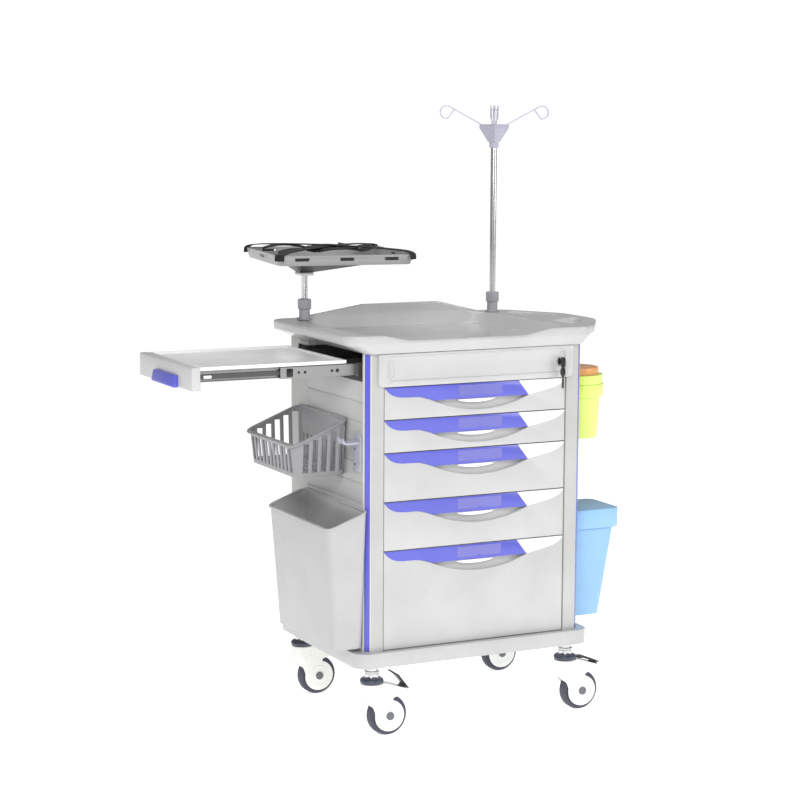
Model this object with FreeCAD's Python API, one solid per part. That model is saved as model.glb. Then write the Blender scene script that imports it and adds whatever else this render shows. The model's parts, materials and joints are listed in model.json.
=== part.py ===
import FreeCAD, Part
import math
import os

# Hospital crash cart: a drawer cabinet on four casters, with a tray-shaped worktop, a side shelf
# on ball slides, a swivelling platform, an IV pole, and hung baskets and bins.
# Millimetres. +Z is up, +X points to the push handle, -Y to the drawer fronts.
# The parts are placed about the cabinet's centre on the floor, and main() moves the whole cart so
# that the origin is the bottom centre of its box.

# ---- cabinet -----------------------------------------------------------------------------------
BODY_W = 598.0
BODY_D = 458.0
COLUMN_W = 47.0
FRONT_COLUMN_DEPTH = 20.0
REAR_COLUMN_DEPTH = 119.0
COLUMN_CHAMFER = 16.0
COLUMN_WALL = 2.5
STRIP_W = 14.0
STRIP_T = 1.4
STRIP_END_GAP = 2.0
PANEL_T = 5.0
GROOVE_PITCH = 49.0
GROOVE_W = 3.0
GROOVE_DEPTH = 1.5
BACK_PANEL_INSET = 2.0
DRAWER_PITCHES = (80.0, 80.0, 119.0, 120.0, 243.5)
FASCIA_H = 79.0
FASCIA_GAP = 2.5
SHELF_OPENING_H = 68.5

# ---- base and casters --------------------------------------------------------------------------
BASE_W = 650.0
BASE_D = 490.0
BASE_T = 36.0
BASE_WALL = 5.0
BASE_CORNER_R = 38.0
BASE_RIB_T = 4.0
BOSS_R = 24.0
CASTER_X = 272.0
CASTER_Y = 209.0
WHEEL_R = 50.0
TYRE_W = 27.0
TYRE_SHOULDER = 7.0
CORE_R = 35.0
CORE_W = 20.0
HUB_R = 12.0
HUB_W = 29.6
AXLE_R = 4.0
AXLE_CAP_R = 9.0
AXLE_CAP_T = 3.0
TRAIL = 40.0
CHEEK_GAP = 31.0
CHEEK_T = 5.5
CHEEK_R = 39.0
HEAD_R = 28.0
HEAD_TOP = 82.0
HEAD_BOTTOM = 54.0
COLLAR_R = 29.0
COLLAR_H = 21.7
NECK_R = 15.0
NECK_H = 22.5
STEM_R = 6.0
STEM_IN_HEAD = 24.0
STEM_IN_BASE = 26.0
PEDAL_PIVOT_X = 82.0
PEDAL_PIVOT_Z = 63.0
PEDAL_PIN_R = 2.0
PEDAL_HUB_R = 5.0
PEDAL_W = 26.0
PEDAL_T = 3.0
PEDAL_LIFT_DEG = 30.0
PEDAL_GAP = 1.0
RUNNING = 0.05
SEAT_GAP = 0.3

# ---- drawers -----------------------------------------------------------------------------------
DRAWER_GAP = 2.5
DRAWER_SIDE_GAP = 3.0
DRAWER_RECESS = 2.5
FRONT_DEPTH = 17.0
TUB_WALL = 3.0
TUB_LENGTH = 350.0
TUB_TOP_GAP = 14.0
TUB_BOTTOM_GAP = 8.0
RIB_H = 6.0
RIB_PLAY = 0.6
LINER_T = 3.0
CHANNEL_T = 2.0
CHANNEL_GRIP = 7.4
TUB_SIDE_GAP = 11.0
POCKET_LEFT = 129.0
POCKET_RIGHT = 398.0
POCKET_TOP = 37.0
POCKET_SAG = 28.5
POCKET_DEPTH = 14.5
ACCENT_T = 2.6
ACCENT_PROUD = 0.8
ACCENT_TOP_RIGHT = 367.0
ACCENT_BOTTOM_RIGHT = 396.0

# ---- fascia and lock ---------------------------------------------------------------------------
FASCIA_OVERLAP = 16.0
FASCIA_T = 6.0
FASCIA_CORNER_R = 12.0
FASCIA_PANEL_INSET = 12.0
FASCIA_PANEL_DEPTH = 1.5
LOCK_X = 229.0
LOCK_DROP = 40.0
LOCK_R = 9.0
LOCK_PROUD = 4.0
LOCK_LENGTH = 26.0
PLUG_R = 5.5
KEY_HEAD_W = 17.0
KEY_HEAD_H = 26.0
KEY_HEAD_T = 5.0
KEY_NECK = 4.0
SPARE_KEY_DROP = 20.0
SPARE_KEY_BLADE = 30.0

# ---- worktop -----------------------------------------------------------------------------------
TOP_GAP = 1.5
TOP_FRONT_OVERHANG = 19.0
TOP_REAR_OVERHANG = 16.0
TOP_LEFT_OVERHANG = 51.0
TOP_RIGHT_OVERHANG = 29.0
TOP_FLARE_H = 23.0
TOP_RIM_H = 44.5
TOP_FLOOR_H = 15.5
TOP_FRONT_DIP = 14.0
TOP_DIP_LEFT = -190.0
TOP_DIP_RIGHT = 130.0
TOP_DIP_RAMP = 75.0
GUARD_RISE = 29.0
GUARD_T = 15.0
GUARD_FLAT_LEFT = -90.0
GUARD_FLAT_RIGHT = 130.0
TOP_CORNER_R = 45.0
TRAY_RIM_FRONT = 12.0
TRAY_RIM_REAR = 20.0
TRAY_RIM_LEFT = 52.0
TRAY_RIM_RIGHT = 73.0
TRAY_SLOPE = 22.0
TRAY_CORNER_R = 55.0
WING_REACH = 100.0
WING_HALF = 233.0
WING_NOSE_HALF = 80.0
WING_NOSE_R = 100.0
WING_T = 18.0
GRIP_INNER = 2.0
GRIP_REACH = 90.0
GRIP_NEAR = 30.0
GRIP_FAR = 75.0
GRIP_END = 172.0
GRIP_R = 12.0

# ---- poles -------------------------------------------------------------------------------------
POLE_INSET_Y = 39.0
IV_INSET_X = 29.0
POST_INSET_X = 26.0
SOCKET_DISC_R = 19.5
SOCKET_DISC_T = 3.0
SOCKET_R = 13.8
SOCKET_H = 26.0
SOCKET_TUBE_R = 12.5
SOCKET_TUBE_L = 220.0
KNOB_R = 17.8
KNOB_H = 26.0
KNOB_FLUTES = 12
KNOB_FLUTE_R = 2.4
IV_POLE_R = 8.0
IV_POLE_TOP = 1450.0
IV_POLE_LENGTH = 830.0
IV_HEAD_LOW = 1414.0
IV_HEAD_H = 60.0
IV_HEAD_COLLAR_R = 12.4
IV_HEAD_COLLAR_H = 14.0
IV_HEAD_SIDE = 57.0
IV_HEAD_RIM_H = 10.0
IV_HEAD_CORNER_R = 4.0
IV_HEAD_TURN_DEG = -26.4
IV_HOOK_WIRE_R = 1.6
IV_HOOK_PAIR_GAP = 8.0
IV_HOOK_REACH = 143.0
IV_HOOK_EYE_R = 16.5
IV_HOOK_RISE = 31.0
IV_HOOK_SLOPE_DEG = 29.0
IV_HOOK_WRAP_DEG = 219.0
IV_HOOK_FOOT = 36.0
POST_R = 8.0
POST_LENGTH = 380.0
POST_TOP = 1095.0
HUB_PLATE_W = 38.0
HUB_PLATE_T = 8.0
SPIGOT_R = 5.0
SPIGOT_H = 14.0
PLATFORM_W = 340.0
PLATFORM_D = 353.0
PLATFORM_BOTTOM = 1130.0
PLATFORM_H = 25.0
PLATFORM_FLARE = 6.0
PLATFORM_WALL = 2.5
PLATFORM_CORNER_R = 24.0
PLATFORM_OFFSET_X = 68.0
PLATFORM_OFFSET_Y = 20.0
PLATFORM_TURN_DEG = -9.5
PLATFORM_SLOT_W = 36.0
PLATFORM_SLOT_H = 5.0
PLATFORM_BRACKET_W = 230.0
PLATFORM_BRACKET_D = 190.0
STRAP_W = 25.0
STRAP_T = 2.5

# ---- side shelf --------------------------------------------------------------------------------
SHELF_TRAVEL = 400.0
SHELF_CLOSED_GAP = 1.0
SHELF_FRONT_T = 22.0
SHELF_FRONT_H = 56.0
SHELF_FRONT_NEAR = 45.0
SHELF_FRONT_W = 355.0
SHELF_FRONT_BELOW = 4.0
SHELF_NEAR_GAP = 46.0
SHELF_W = 349.0
SHELF_LENGTH = 371.0
SHELF_WALL = 3.0
SHELF_RIM_H = 8.0
SHELF_NOTCH_PLAY = 4.0
SHELF_H = 34.0
SHELF_RECESS = 5.0
SHELF_HANDLE_W = 146.0
SHELF_HANDLE_H = 29.0
SHELF_HANDLE_T = 15.0
SHELF_HANDLE_NEAR = 134.0
SLIDE_H = 31.0
SLIDE_T = 1.2
SLIDE_DEPTH = 13.0
SLIDE_PLAY = 0.8
SLIDE_BELOW_RIM = 8.5
SLIDE_FIXED_L = 405.0
SLIDE_FLANGE_T = 2.5

# ---- hung pieces -------------------------------------------------------------------------------
HANG_GAP = 0.5
BASKET_NEAR = -137.0
BASKET_FAR = 163.0
BASKET_REACH = 151.0
BASKET_TOP = 772.0
BASKET_LOW = 634.0
BASKET_DRAFT = 14.0
BASKET_RIM_SLOPE_DEG = 21.7
BASKET_WALL = 3.0
BASKET_R = 26.0
BIN_NEAR = -246.0
BIN_FAR = 127.0
BIN_REACH = 106.0
BIN_TOP = 563.0
BIN_RIM_SLOPE_DEG = 20.0
BIN_LOW = 225.0
BIN_DRAFT = 24.0
BIN_WALL = 3.0
BIN_R = 20.0
HOOK_PLATE_NEAR = -207.0
HOOK_PLATE_FAR = -165.0
HOOK_PLATE_LOW = 650.0
HOOK_PLATE_TOP = 747.0
HOOK_PLATE_T = 4.0
HOOK_PRONG_R = 4.0
HOOK_PRONG_L = 42.0
HOOK_PRONG_TIP = 10.0
HOOK_PRONG_Z = 722.0
HOOK_PRONG_PITCH = 22.0
SHARPS_Y = -58.0
SHARPS_TOP_R = 70.0
SHARPS_R = 66.0
SHARPS_LOW_R = 58.0
SHARPS_LOW = 678.0
SHARPS_RING_LOW = 785.0
SHARPS_RING_TOP = 817.0
SHARPS_RING_T = 5.0
SHARPS_RING_PLAY = 1.5
SHARPS_TOP = 840.0
SHARPS_WALL = 2.5
SHARPS_MOUTH_R = 40.0
SHARPS_LID_R = 60.0
SHARPS_LID_H = 18.0
SHARPS_BACK_T = 9.0
LIDBIN_NEAR = -164.0
LIDBIN_FAR = -15.0
LIDBIN_REACH = 160.0
LIDBIN_LID_TOP = 500.0
LIDBIN_LID_H = 48.0
LIDBIN_LID_T = 3.0
LIDBIN_LOW = 222.0
LIDBIN_DRAFT = 36.0
LIDBIN_WALL = 3.0
LIDBIN_R = 22.0
LIDBIN_SKIRT_PLAY = 2.0
LIDBIN_PIN_R = 2.0
LIDBIN_BARREL_R = 4.5
LIDBIN_LUG_W = 10.0

# ---- heights and faces that follow from the sizes above ----------------------------------------
HALF_W = BODY_W / 2
HALF_D = BODY_D / 2
BASE_Z = WHEEL_R + HEAD_TOP + SEAT_GAP + COLLAR_H + NECK_H
BASE_TOP = BASE_Z + BASE_T
DRAWER_TOP = BASE_TOP + sum(DRAWER_PITCHES)
FASCIA_LOW = DRAWER_TOP + FASCIA_GAP
BODY_TOP = FASCIA_LOW + FASCIA_H + TOP_GAP
TOP_LOW = BODY_TOP
RIM_Z = TOP_LOW + TOP_RIM_H
FRONT_FACE = -HALF_D
DRAWER_HALF_W = HALF_W - COLUMN_W
LINER_FRONT = FRONT_FACE + FRONT_COLUMN_DEPTH
DRAWER_FACE = FRONT_FACE + DRAWER_RECESS
SHELF_TOP = BODY_TOP - SHELF_OPENING_H + SHELF_FRONT_H - SHELF_FRONT_BELOW
IV_X = HALF_W - IV_INSET_X
POST_X = -(HALF_W - POST_INSET_X)
POLE_Y = HALF_D - POLE_INSET_Y
SHARPS_X = HALF_W + SHARPS_BACK_T + SHARPS_R + SHARPS_RING_PLAY + SHARPS_RING_T

CUT = 1.0
Z_AXIS = FreeCAD.Vector(0, 0, 1)


# ---- drawing helpers ---------------------------------------------------------------------------
def vec(x, y, z):
    """A point or direction."""
    return FreeCAD.Vector(x, y, z)


def block(x0, y0, z0, x1, y1, z1):
    """A box from its lowest corner to its highest."""
    return Part.makeBox(x1 - x0, y1 - y0, z1 - z0, vec(x0, y0, z0))


def upright(radius, x, y, z0, z1):
    """A cylinder standing along Z."""
    return Part.makeCylinder(radius, z1 - z0, vec(x, y, z0))


def crosswise(radius, x, z, y0, y1):
    """A cylinder lying along Y."""
    return Part.makeCylinder(radius, y1 - y0, vec(x, y0, z), vec(0, 1, 0))


def plan_at(z):
    """Places outline points (u, v) in the level plane at height z."""
    return lambda u, v: vec(u, v, z)


def elevation_at(y):
    """Places outline points (u, v) in the upright X-Z plane at y."""
    return lambda u, v: vec(u, y, v)


def side_at(x):
    """Places outline points (u, v) in the upright Y-Z plane at x."""
    return lambda u, v: vec(x, u, v)


def outline(corners, place):
    """A closed wire through corners (u, v, radius), each corner rounded by its own radius."""
    count = len(corners)
    spans = []
    for i in range(count):
        before = corners[i - 1]
        here = corners[i]
        after = corners[(i + 1) % count]
        radius = here[2]
        if radius == 0:
            spans.append(((here[0], here[1]), None, (here[0], here[1])))
            continue
        back = (before[0] - here[0], before[1] - here[1])
        ahead = (after[0] - here[0], after[1] - here[1])
        back_l = math.hypot(*back)
        ahead_l = math.hypot(*ahead)
        back = (back[0] / back_l, back[1] / back_l)
        ahead = (ahead[0] / ahead_l, ahead[1] / ahead_l)
        half = math.acos(max(-1.0, min(1.0, back[0] * ahead[0] + back[1] * ahead[1]))) / 2
        reach = min(radius / math.tan(half), 0.49 * back_l, 0.49 * ahead_l)
        fitted = reach * math.tan(half)
        middle = (back[0] + ahead[0], back[1] + ahead[1])
        middle_l = math.hypot(*middle)
        depth = fitted / math.sin(half) - fitted
        start = (here[0] + back[0] * reach, here[1] + back[1] * reach)
        end = (here[0] + ahead[0] * reach, here[1] + ahead[1] * reach)
        top = (here[0] + middle[0] / middle_l * depth, here[1] + middle[1] / middle_l * depth)
        spans.append((start, top, end))
    edges = []
    for i in range(count):
        start, top, end = spans[i]
        if top is not None:
            edges.append(Part.Arc(place(*start), place(*top), place(*end)).toShape())
        following = spans[(i + 1) % count][0]
        if math.hypot(following[0] - end[0], following[1] - end[1]) > 1e-6:
            edges.append(Part.LineSegment(place(*end), place(*following)).toShape())
    return Part.Wire(edges)


def rectangle(x0, y0, x1, y1, radius):
    """Corners of a rectangle with all corners rounded alike."""
    return [(x0, y0, radius), (x1, y0, radius), (x1, y1, radius), (x0, y1, radius)]


def slab(corners, z0, z1):
    """An outline in plan, extruded from z0 up to z1."""
    return Part.Face(outline(corners, plan_at(z0))).extrude(vec(0, 0, z1 - z0))


def plate(corners, y0, y1):
    """An outline in X-Z, extruded along Y from y0 to y1."""
    return Part.Face(outline(corners, elevation_at(y0))).extrude(vec(0, y1 - y0, 0))


def side_plate(corners, x0, x1):
    """An outline in Y-Z, extruded along X from x0 to x1."""
    return Part.Face(outline(corners, side_at(x0))).extrude(vec(x1 - x0, 0, 0))


def tapered(low_corners, z0, high_corners, z1):
    """A solid that runs straight from one plan outline to another with the same corners."""
    low = outline(low_corners, plan_at(z0))
    high = outline(high_corners, plan_at(z1))
    return Part.makeLoft([low, high], True, True)


def ring(outer, inner, x, y, z0, z1):
    """An upright tube."""
    return upright(outer, x, y, z0, z1).cut(upright(inner, x, y, z0 - CUT, z1 + CUT))


def joined(shapes):
    """One shape from overlapping or touching ones."""
    first = shapes[0]
    if len(shapes) == 1:
        return first
    return first.fuse(shapes[1:]).removeSplitter()


def turned_about(shape, centre, axis, degrees):
    """A copy of the shape turned about an axis."""
    copy = shape.copy()
    copy.rotate(centre, axis, degrees)
    return copy


def mirrored_x(shape):
    """The shape's mirror image in the plane x = 0."""
    return shape.mirror(vec(0, 0, 0), vec(1, 0, 0))


# ---- base and casters --------------------------------------------------------------------------
def caster_places():
    """Stem positions in plan by corner name."""
    return {
        "front_left": (-CASTER_X, -CASTER_Y),
        "front_right": (CASTER_X, -CASTER_Y),
        "rear_left": (-CASTER_X, CASTER_Y),
        "rear_right": (CASTER_X, CASTER_Y),
    }


def base_platform():
    """Moulded base plate, hollow underneath, with a boss for each caster stem."""
    half_w = BASE_W / 2
    half_d = BASE_D / 2
    ceiling = BASE_TOP - BASE_WALL
    outer = slab(rectangle(-half_w, -half_d, half_w, half_d, BASE_CORNER_R), BASE_Z, BASE_TOP)
    in_w = half_w - BASE_WALL
    in_d = half_d - BASE_WALL
    inner_r = BASE_CORNER_R - BASE_WALL
    hollow = slab(rectangle(-in_w, -in_d, in_w, in_d, inner_r), BASE_Z - CUT, ceiling)
    extras = [upright(BOSS_R, x, y, BASE_Z, ceiling) for x, y in caster_places().values()]
    half_rib = BASE_RIB_T / 2
    for x in (-CASTER_X, 0.0, CASTER_X):
        extras.append(block(x - half_rib, -in_d, BASE_Z + BASE_WALL, x + half_rib, in_d, ceiling))
    for y in (-CASTER_Y, CASTER_Y):
        extras.append(block(-in_w, y - half_rib, BASE_Z + BASE_WALL, in_w, y + half_rib, ceiling))
    shell = joined([outer.cut(hollow)] + extras)
    holes = [
        upright(STEM_R, x, y, BASE_Z - CUT, BASE_Z + STEM_IN_BASE)
        for x, y in caster_places().values()
    ]
    return shell.cut(holes)


def caster_stems():
    """Four stems, each with its neck and bearing collar."""
    stems = []
    head_top = WHEEL_R + HEAD_TOP
    for x, y in caster_places().values():
        collar_z = head_top + SEAT_GAP
        stem = upright(STEM_R, x, y, head_top - STEM_IN_HEAD, BASE_Z + STEM_IN_BASE)
        collar = upright(COLLAR_R, x, y, collar_z, collar_z + COLLAR_H)
        neck = upright(NECK_R, x, y, collar_z + COLLAR_H, BASE_Z)
        stems.append(joined([stem, collar, neck]))
    return stems


def cheek_profile(x, z):
    """Side outline of the fork: head, arm and the sweep down to the hub disc."""
    return [
        (x - HEAD_R, z + HEAD_TOP, 0),
        (x + HEAD_R + 2, z + HEAD_TOP, 14),
        (x + TRAIL + 54, z + 61, 3),
        (x + TRAIL + 48, z + 50, 3),
        (x + TRAIL + 12, z + 44.5, 3),
        (x + TRAIL + 6, z + 36, 3),
        (x + TRAIL, z, 0),
        (x + TRAIL - 36, z, 0),
        (x + TRAIL - 44, z + 24, 12),
        (x - HEAD_R, z + 40, 6),
    ]


def caster_housing(x, y, braked):
    """White fork of one caster: head, two cheeks, web and the axle with its caps."""
    axle_x = x + TRAIL
    inner = CHEEK_GAP / 2
    outer = inner + CHEEK_T
    pieces = []
    for side in (-1, 1):
        near = y + side * inner
        far = y + side * outer
        low, high = min(near, far), max(near, far)
        pieces.append(plate(cheek_profile(x, WHEEL_R), low, high))
        pieces.append(crosswise(CHEEK_R, axle_x, WHEEL_R, low, high))
    head_z = WHEEL_R + HEAD_BOTTOM
    pieces.append(upright(HEAD_R, x, y, head_z, WHEEL_R + HEAD_TOP))
    web_end = x + PEDAL_PIVOT_X - PEDAL_HUB_R - PEDAL_W / 2 if braked else x + TRAIL + 46
    web_top_end = WHEEL_R + HEAD_TOP - (web_end - x - HEAD_R) * 0.33
    web = [
        (x - HEAD_R / 2, head_z, 0),
        (web_end, head_z, 0),
        (web_end, web_top_end, 0),
        (x + HEAD_R, WHEEL_R + HEAD_TOP, 0),
        (x - HEAD_R / 2, WHEEL_R + HEAD_TOP, 0),
    ]
    pieces.append(plate(web, y - inner, y + inner))
    pieces.append(crosswise(AXLE_R, axle_x, WHEEL_R, y - outer, y + outer))
    for side in (-1, 1):
        start = y + side * outer
        cap = sorted((start, start + side * AXLE_CAP_T))
        pieces.append(crosswise(AXLE_CAP_R, axle_x, WHEEL_R, cap[0], cap[1]))
    if braked:
        pin_x = x + PEDAL_PIVOT_X
        pin_z = WHEEL_R + PEDAL_PIVOT_Z
        pieces.append(crosswise(PEDAL_PIN_R, pin_x, pin_z, y - outer, y + outer))
    stem_low = WHEEL_R + HEAD_TOP - STEM_IN_HEAD - SEAT_GAP
    bore = upright(STEM_R + RUNNING, x, y, stem_low, WHEEL_R + HEAD_TOP + CUT)
    return joined(pieces).cut(bore)


def caster_wheel(x, y):
    """Tyre and moulded core of one wheel, turning on the fork's axle."""
    axle_x = x + TRAIL
    half = TYRE_W / 2
    tyre_profile = [
        (CORE_R, -half, 0),
        (WHEEL_R, -half, TYRE_SHOULDER),
        (WHEEL_R, half, TYRE_SHOULDER),
        (CORE_R, half, 0),
    ]
    section = Part.Face(outline(tyre_profile, lambda u, v: vec(axle_x + u, y + v, WHEEL_R)))
    tyre = section.revolve(vec(axle_x, y, WHEEL_R), vec(0, 1, 0), 360)
    core = joined([
        crosswise(CORE_R, axle_x, WHEEL_R, y - CORE_W / 2, y + CORE_W / 2),
        crosswise(HUB_R, axle_x, WHEEL_R, y - HUB_W / 2, y + HUB_W / 2),
    ])
    bore = crosswise(AXLE_R + RUNNING, axle_x, WHEEL_R, y - HUB_W, y + HUB_W)
    return [tyre, core.cut(bore)]


def brake_pedal(x, y, lifted):
    """Rocker lever that lies along the top of the arm and turns on a pin at the arm's end."""
    pin_x = x + PEDAL_PIVOT_X
    pin_z = WHEEL_R + PEDAL_PIVOT_Z
    top = WHEEL_R + HEAD_TOP + PEDAL_GAP
    start = x + COLLAR_R + 4
    lever = plate(
        [
            (start, top, 1),
            (x + TRAIL + 6, top - 1, 10),
            (pin_x + 11, pin_z + 3, 2),
            (pin_x + 12, pin_z + 3 + PEDAL_T, 1),
            (x + TRAIL + 12, top + PEDAL_T, 12),
            (start, top + PEDAL_T + 1, 1),
        ],
        y - PEDAL_W / 2,
        y + PEDAL_W / 2,
    )
    half_hub = CHEEK_GAP / 2 - 1
    hub = crosswise(PEDAL_HUB_R, pin_x, pin_z, y - half_hub, y + half_hub)
    stalk = block(pin_x - 4, y - half_hub, pin_z, pin_x + 4, y + half_hub, pin_z + PEDAL_HUB_R + 3)
    bore = crosswise(PEDAL_PIN_R + RUNNING, pin_x, pin_z, y - HUB_W, y + HUB_W)
    pedal = joined([lever, hub, stalk]).cut(bore)
    if lifted:
        pedal = turned_about(pedal, vec(pin_x, y, pin_z), vec(0, 1, 0), PEDAL_LIFT_DEG)
    return pedal


# ---- cabinet -----------------------------------------------------------------------------------
def front_column_plan(inset):
    """Plan outline of the right front column, drawn in by inset all round."""
    x0 = HALF_W - COLUMN_W + inset
    x1 = HALF_W - inset
    y0 = FRONT_FACE + inset
    y1 = LINER_FRONT - inset
    cut = COLUMN_CHAMFER - inset * (2 - math.sqrt(2))
    return [(x0, y0, 0), (x1 - cut, y0, 0), (x1, y0 + cut, 0), (x1, y1, 0), (x0, y1, 0)]


def rear_column_plan(inset):
    """Plan outline of the right rear column, drawn in by inset all round."""
    x0 = HALF_W - COLUMN_W + inset
    x1 = HALF_W - inset
    y0 = HALF_D - REAR_COLUMN_DEPTH + inset
    y1 = HALF_D - inset
    cut = COLUMN_CHAMFER - inset * (2 - math.sqrt(2))
    return [(x0, y0, 0), (x1, y0, 0), (x1, y1 - cut, 0), (x1 - cut, y1, 0), (x0, y1, 0)]


def corner_columns():
    """Four hollow aluminium columns. The left rear one is notched for the shelf and its slide."""
    columns = []
    shelf_notch = block(
        -HALF_W - CUT,
        HALF_D - REAR_COLUMN_DEPTH - CUT,
        BODY_TOP - SHELF_OPENING_H,
        -DRAWER_HALF_W + CUT,
        shelf_y()[1] + SHELF_NOTCH_PLAY,
        SHELF_TOP + SHELF_NOTCH_PLAY,
    )
    for plan in (front_column_plan, rear_column_plan):
        outer = slab(plan(0), BASE_TOP, BODY_TOP)
        inner = slab(plan(COLUMN_WALL), BASE_TOP - CUT, BODY_TOP + CUT)
        column = outer.cut(inner)
        columns += [column, mirrored_x(column).cut(shelf_notch)]
    return columns


def column_trim_strips():
    """Coloured strip on the chamfer of each column."""
    strips = []
    centre = (HALF_W - COLUMN_CHAMFER / 2, FRONT_FACE + COLUMN_CHAMFER / 2)
    along = STRIP_W / 2 / math.sqrt(2)
    out = STRIP_T / math.sqrt(2)
    plan = [
        (centre[0] - along, centre[1] - along, 0),
        (centre[0] - along + out, centre[1] - along - out, 0),
        (centre[0] + along + out, centre[1] + along - out, 0),
        (centre[0] + along, centre[1] + along, 0),
    ]
    front = slab(plan, BASE_TOP + STRIP_END_GAP, BODY_TOP - STRIP_END_GAP)
    rear = front.mirror(vec(0, 0, 0), vec(0, 1, 0))
    for strip in (front, rear):
        strips += [strip, mirrored_x(strip)]
    return strips


def grooved_panel(z_top):
    """Right-hand side panel up to z_top, with level grooves outside."""
    y0 = LINER_FRONT
    y1 = HALF_D - REAR_COLUMN_DEPTH
    panel = block(HALF_W - PANEL_T, y0, BASE_TOP, HALF_W, y1, z_top)
    grooves = []
    z = BODY_TOP - SHELF_OPENING_H - GROOVE_PITCH
    while z > BASE_TOP + GROOVE_PITCH / 2:
        low = z - GROOVE_W / 2
        grooves.append(
            block(HALF_W - GROOVE_DEPTH, y0 - CUT, low, HALF_W + CUT, y1 + CUT, low + GROOVE_W)
        )
        z -= GROOVE_PITCH
    return panel.cut(grooves)


def back_panel():
    """Panel between the rear columns."""
    y1 = HALF_D - BACK_PANEL_INSET
    half = DRAWER_HALF_W
    return block(-half, y1 - PANEL_T, BASE_TOP, half, y1, BODY_TOP)


def liner_back_y():
    """Inner face of the liner's back wall."""
    return DRAWER_FACE + FRONT_DEPTH + TUB_LENGTH + LINER_T * 4


def shelf_slide_y():
    """Outer faces of the two shelf slides, near side first, flush with the tray's rim."""
    return shelf_y()


def slide_fixed_x():
    """Ends of the shelf slides' fixed members."""
    return -HALF_W, -HALF_W + SLIDE_FIXED_L


def slide_z():
    """Bottom and top of the shelf slides."""
    top = SHELF_TOP - SLIDE_BELOW_RIM
    return top - SLIDE_H, top


def drawer_frame():
    """Sheet liner that the drawers run in, with the upstands that carry the shelf slides."""
    half = DRAWER_HALF_W
    back = liner_back_y()
    roof = FASCIA_LOW + 1
    near, far = shelf_slide_y()
    walls = [
        block(-half, LINER_FRONT, BASE_TOP, -half + LINER_T, back + LINER_T, roof),
        block(half - LINER_T, LINER_FRONT, BASE_TOP, half, back + LINER_T, roof),
        block(-half, back, BASE_TOP, half, back + LINER_T, roof),
        block(-half, LINER_FRONT, roof, half, far + SLIDE_FLANGE_T, roof + LINER_T),
    ]
    top = slide_z()[1]
    end = slide_fixed_x()[1]
    walls.append(block(-half, near - SLIDE_FLANGE_T, roof, end, near, top))
    walls.append(block(-half, far, roof, end, far + SLIDE_FLANGE_T, top))
    return joined(walls)


def drawer_span(index):
    """Bottom and top of the drawer front, counted from the top drawer."""
    top = DRAWER_TOP - sum(DRAWER_PITCHES[:index])
    return top - DRAWER_PITCHES[index] + DRAWER_GAP, top


def drawer_rib_z(index):
    """Height of the drawer's running rib."""
    low, high = drawer_span(index)
    return high - TUB_TOP_GAP - (high - low) * 0.3


def slide_channels():
    """Fixed channels of every drawer, and the fixed members of the shelf slides."""
    inner = DRAWER_HALF_W - LINER_T
    y0 = LINER_FRONT + LINER_T
    y1 = liner_back_y() - LINER_T
    half_gap = RIB_H / 2 + RIB_PLAY
    members = []
    for index in range(len(DRAWER_PITCHES)):
        z = drawer_rib_z(index)
        outer = block(
            inner - CHANNEL_GRIP, y0, z - half_gap - CHANNEL_T, inner, y1, z + half_gap + CHANNEL_T
        )
        slot = block(
            inner - CHANNEL_GRIP - CUT, y0 - CUT, z - half_gap, inner - CHANNEL_T, y1 + CUT, z + half_gap
        )
        channel = outer.cut(slot)
        members += [channel, mirrored_x(channel)]
    x0, x1 = slide_fixed_x()
    z0, z1 = slide_z()
    near, far = shelf_slide_y()
    for face, inward in ((near, 1), (far, -1)):
        members.append(slide_member(x0, x1, z0, z1, face, inward, SLIDE_DEPTH - 1))
    return members


def slide_member(x0, x1, z0, z1, face, inward, depth):
    """Channel along X: web at y = face, flanges reaching inward by depth."""
    ys = sorted((face, face + inward * depth))
    outer = block(x0, ys[0], z0, x1, ys[1], z1)
    hollow = sorted((face + inward * SLIDE_T, face + inward * (depth + CUT)))
    slot = block(x0 - CUT, hollow[0], z0 + SLIDE_T, x1 + CUT, hollow[1], z1 - SLIDE_T)
    return outer.cut(slot)


def front_fascia():
    """Fixed top panel with its recessed field and the lock hole."""
    half = DRAWER_HALF_W + FASCIA_OVERLAP
    low = FASCIA_LOW
    high = FASCIA_LOW + FASCIA_H
    face = FRONT_FACE - FASCIA_T
    shield = plate(
        [
            (-half, low, FASCIA_CORNER_R),
            (half, low, FASCIA_CORNER_R),
            (half, high, 0),
            (-half, high, 0),
        ],
        face,
        FRONT_FACE,
    )
    inset = FASCIA_PANEL_INSET
    field = plate(
        rectangle(-half + inset * 2, low + inset, half - inset * 2, high - inset / 2, FASCIA_CORNER_R),
        face - CUT,
        face + FASCIA_PANEL_DEPTH,
    )
    lock_hole = crosswise(LOCK_R, LOCK_X, high - LOCK_DROP, face - CUT, FRONT_FACE + CUT)
    return shield.cut([field, lock_hole])


def lock_z():
    """Height of the lock's axis."""
    return FASCIA_LOW + FASCIA_H - LOCK_DROP


def lock_cylinder():
    """Lock barrel in the fascia, with a flange in front."""
    face = FRONT_FACE - FASCIA_T + FASCIA_PANEL_DEPTH
    z = lock_z()
    barrel = crosswise(LOCK_R, LOCK_X, z, face, face + LOCK_LENGTH)
    flange = crosswise(LOCK_R + 2, LOCK_X, z, face - LOCK_PROUD, face)
    bore = crosswise(PLUG_R + RUNNING, LOCK_X, z, face - LOCK_PROUD - CUT, face + LOCK_LENGTH - 2)
    return joined([barrel, flange]).cut(bore)


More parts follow.
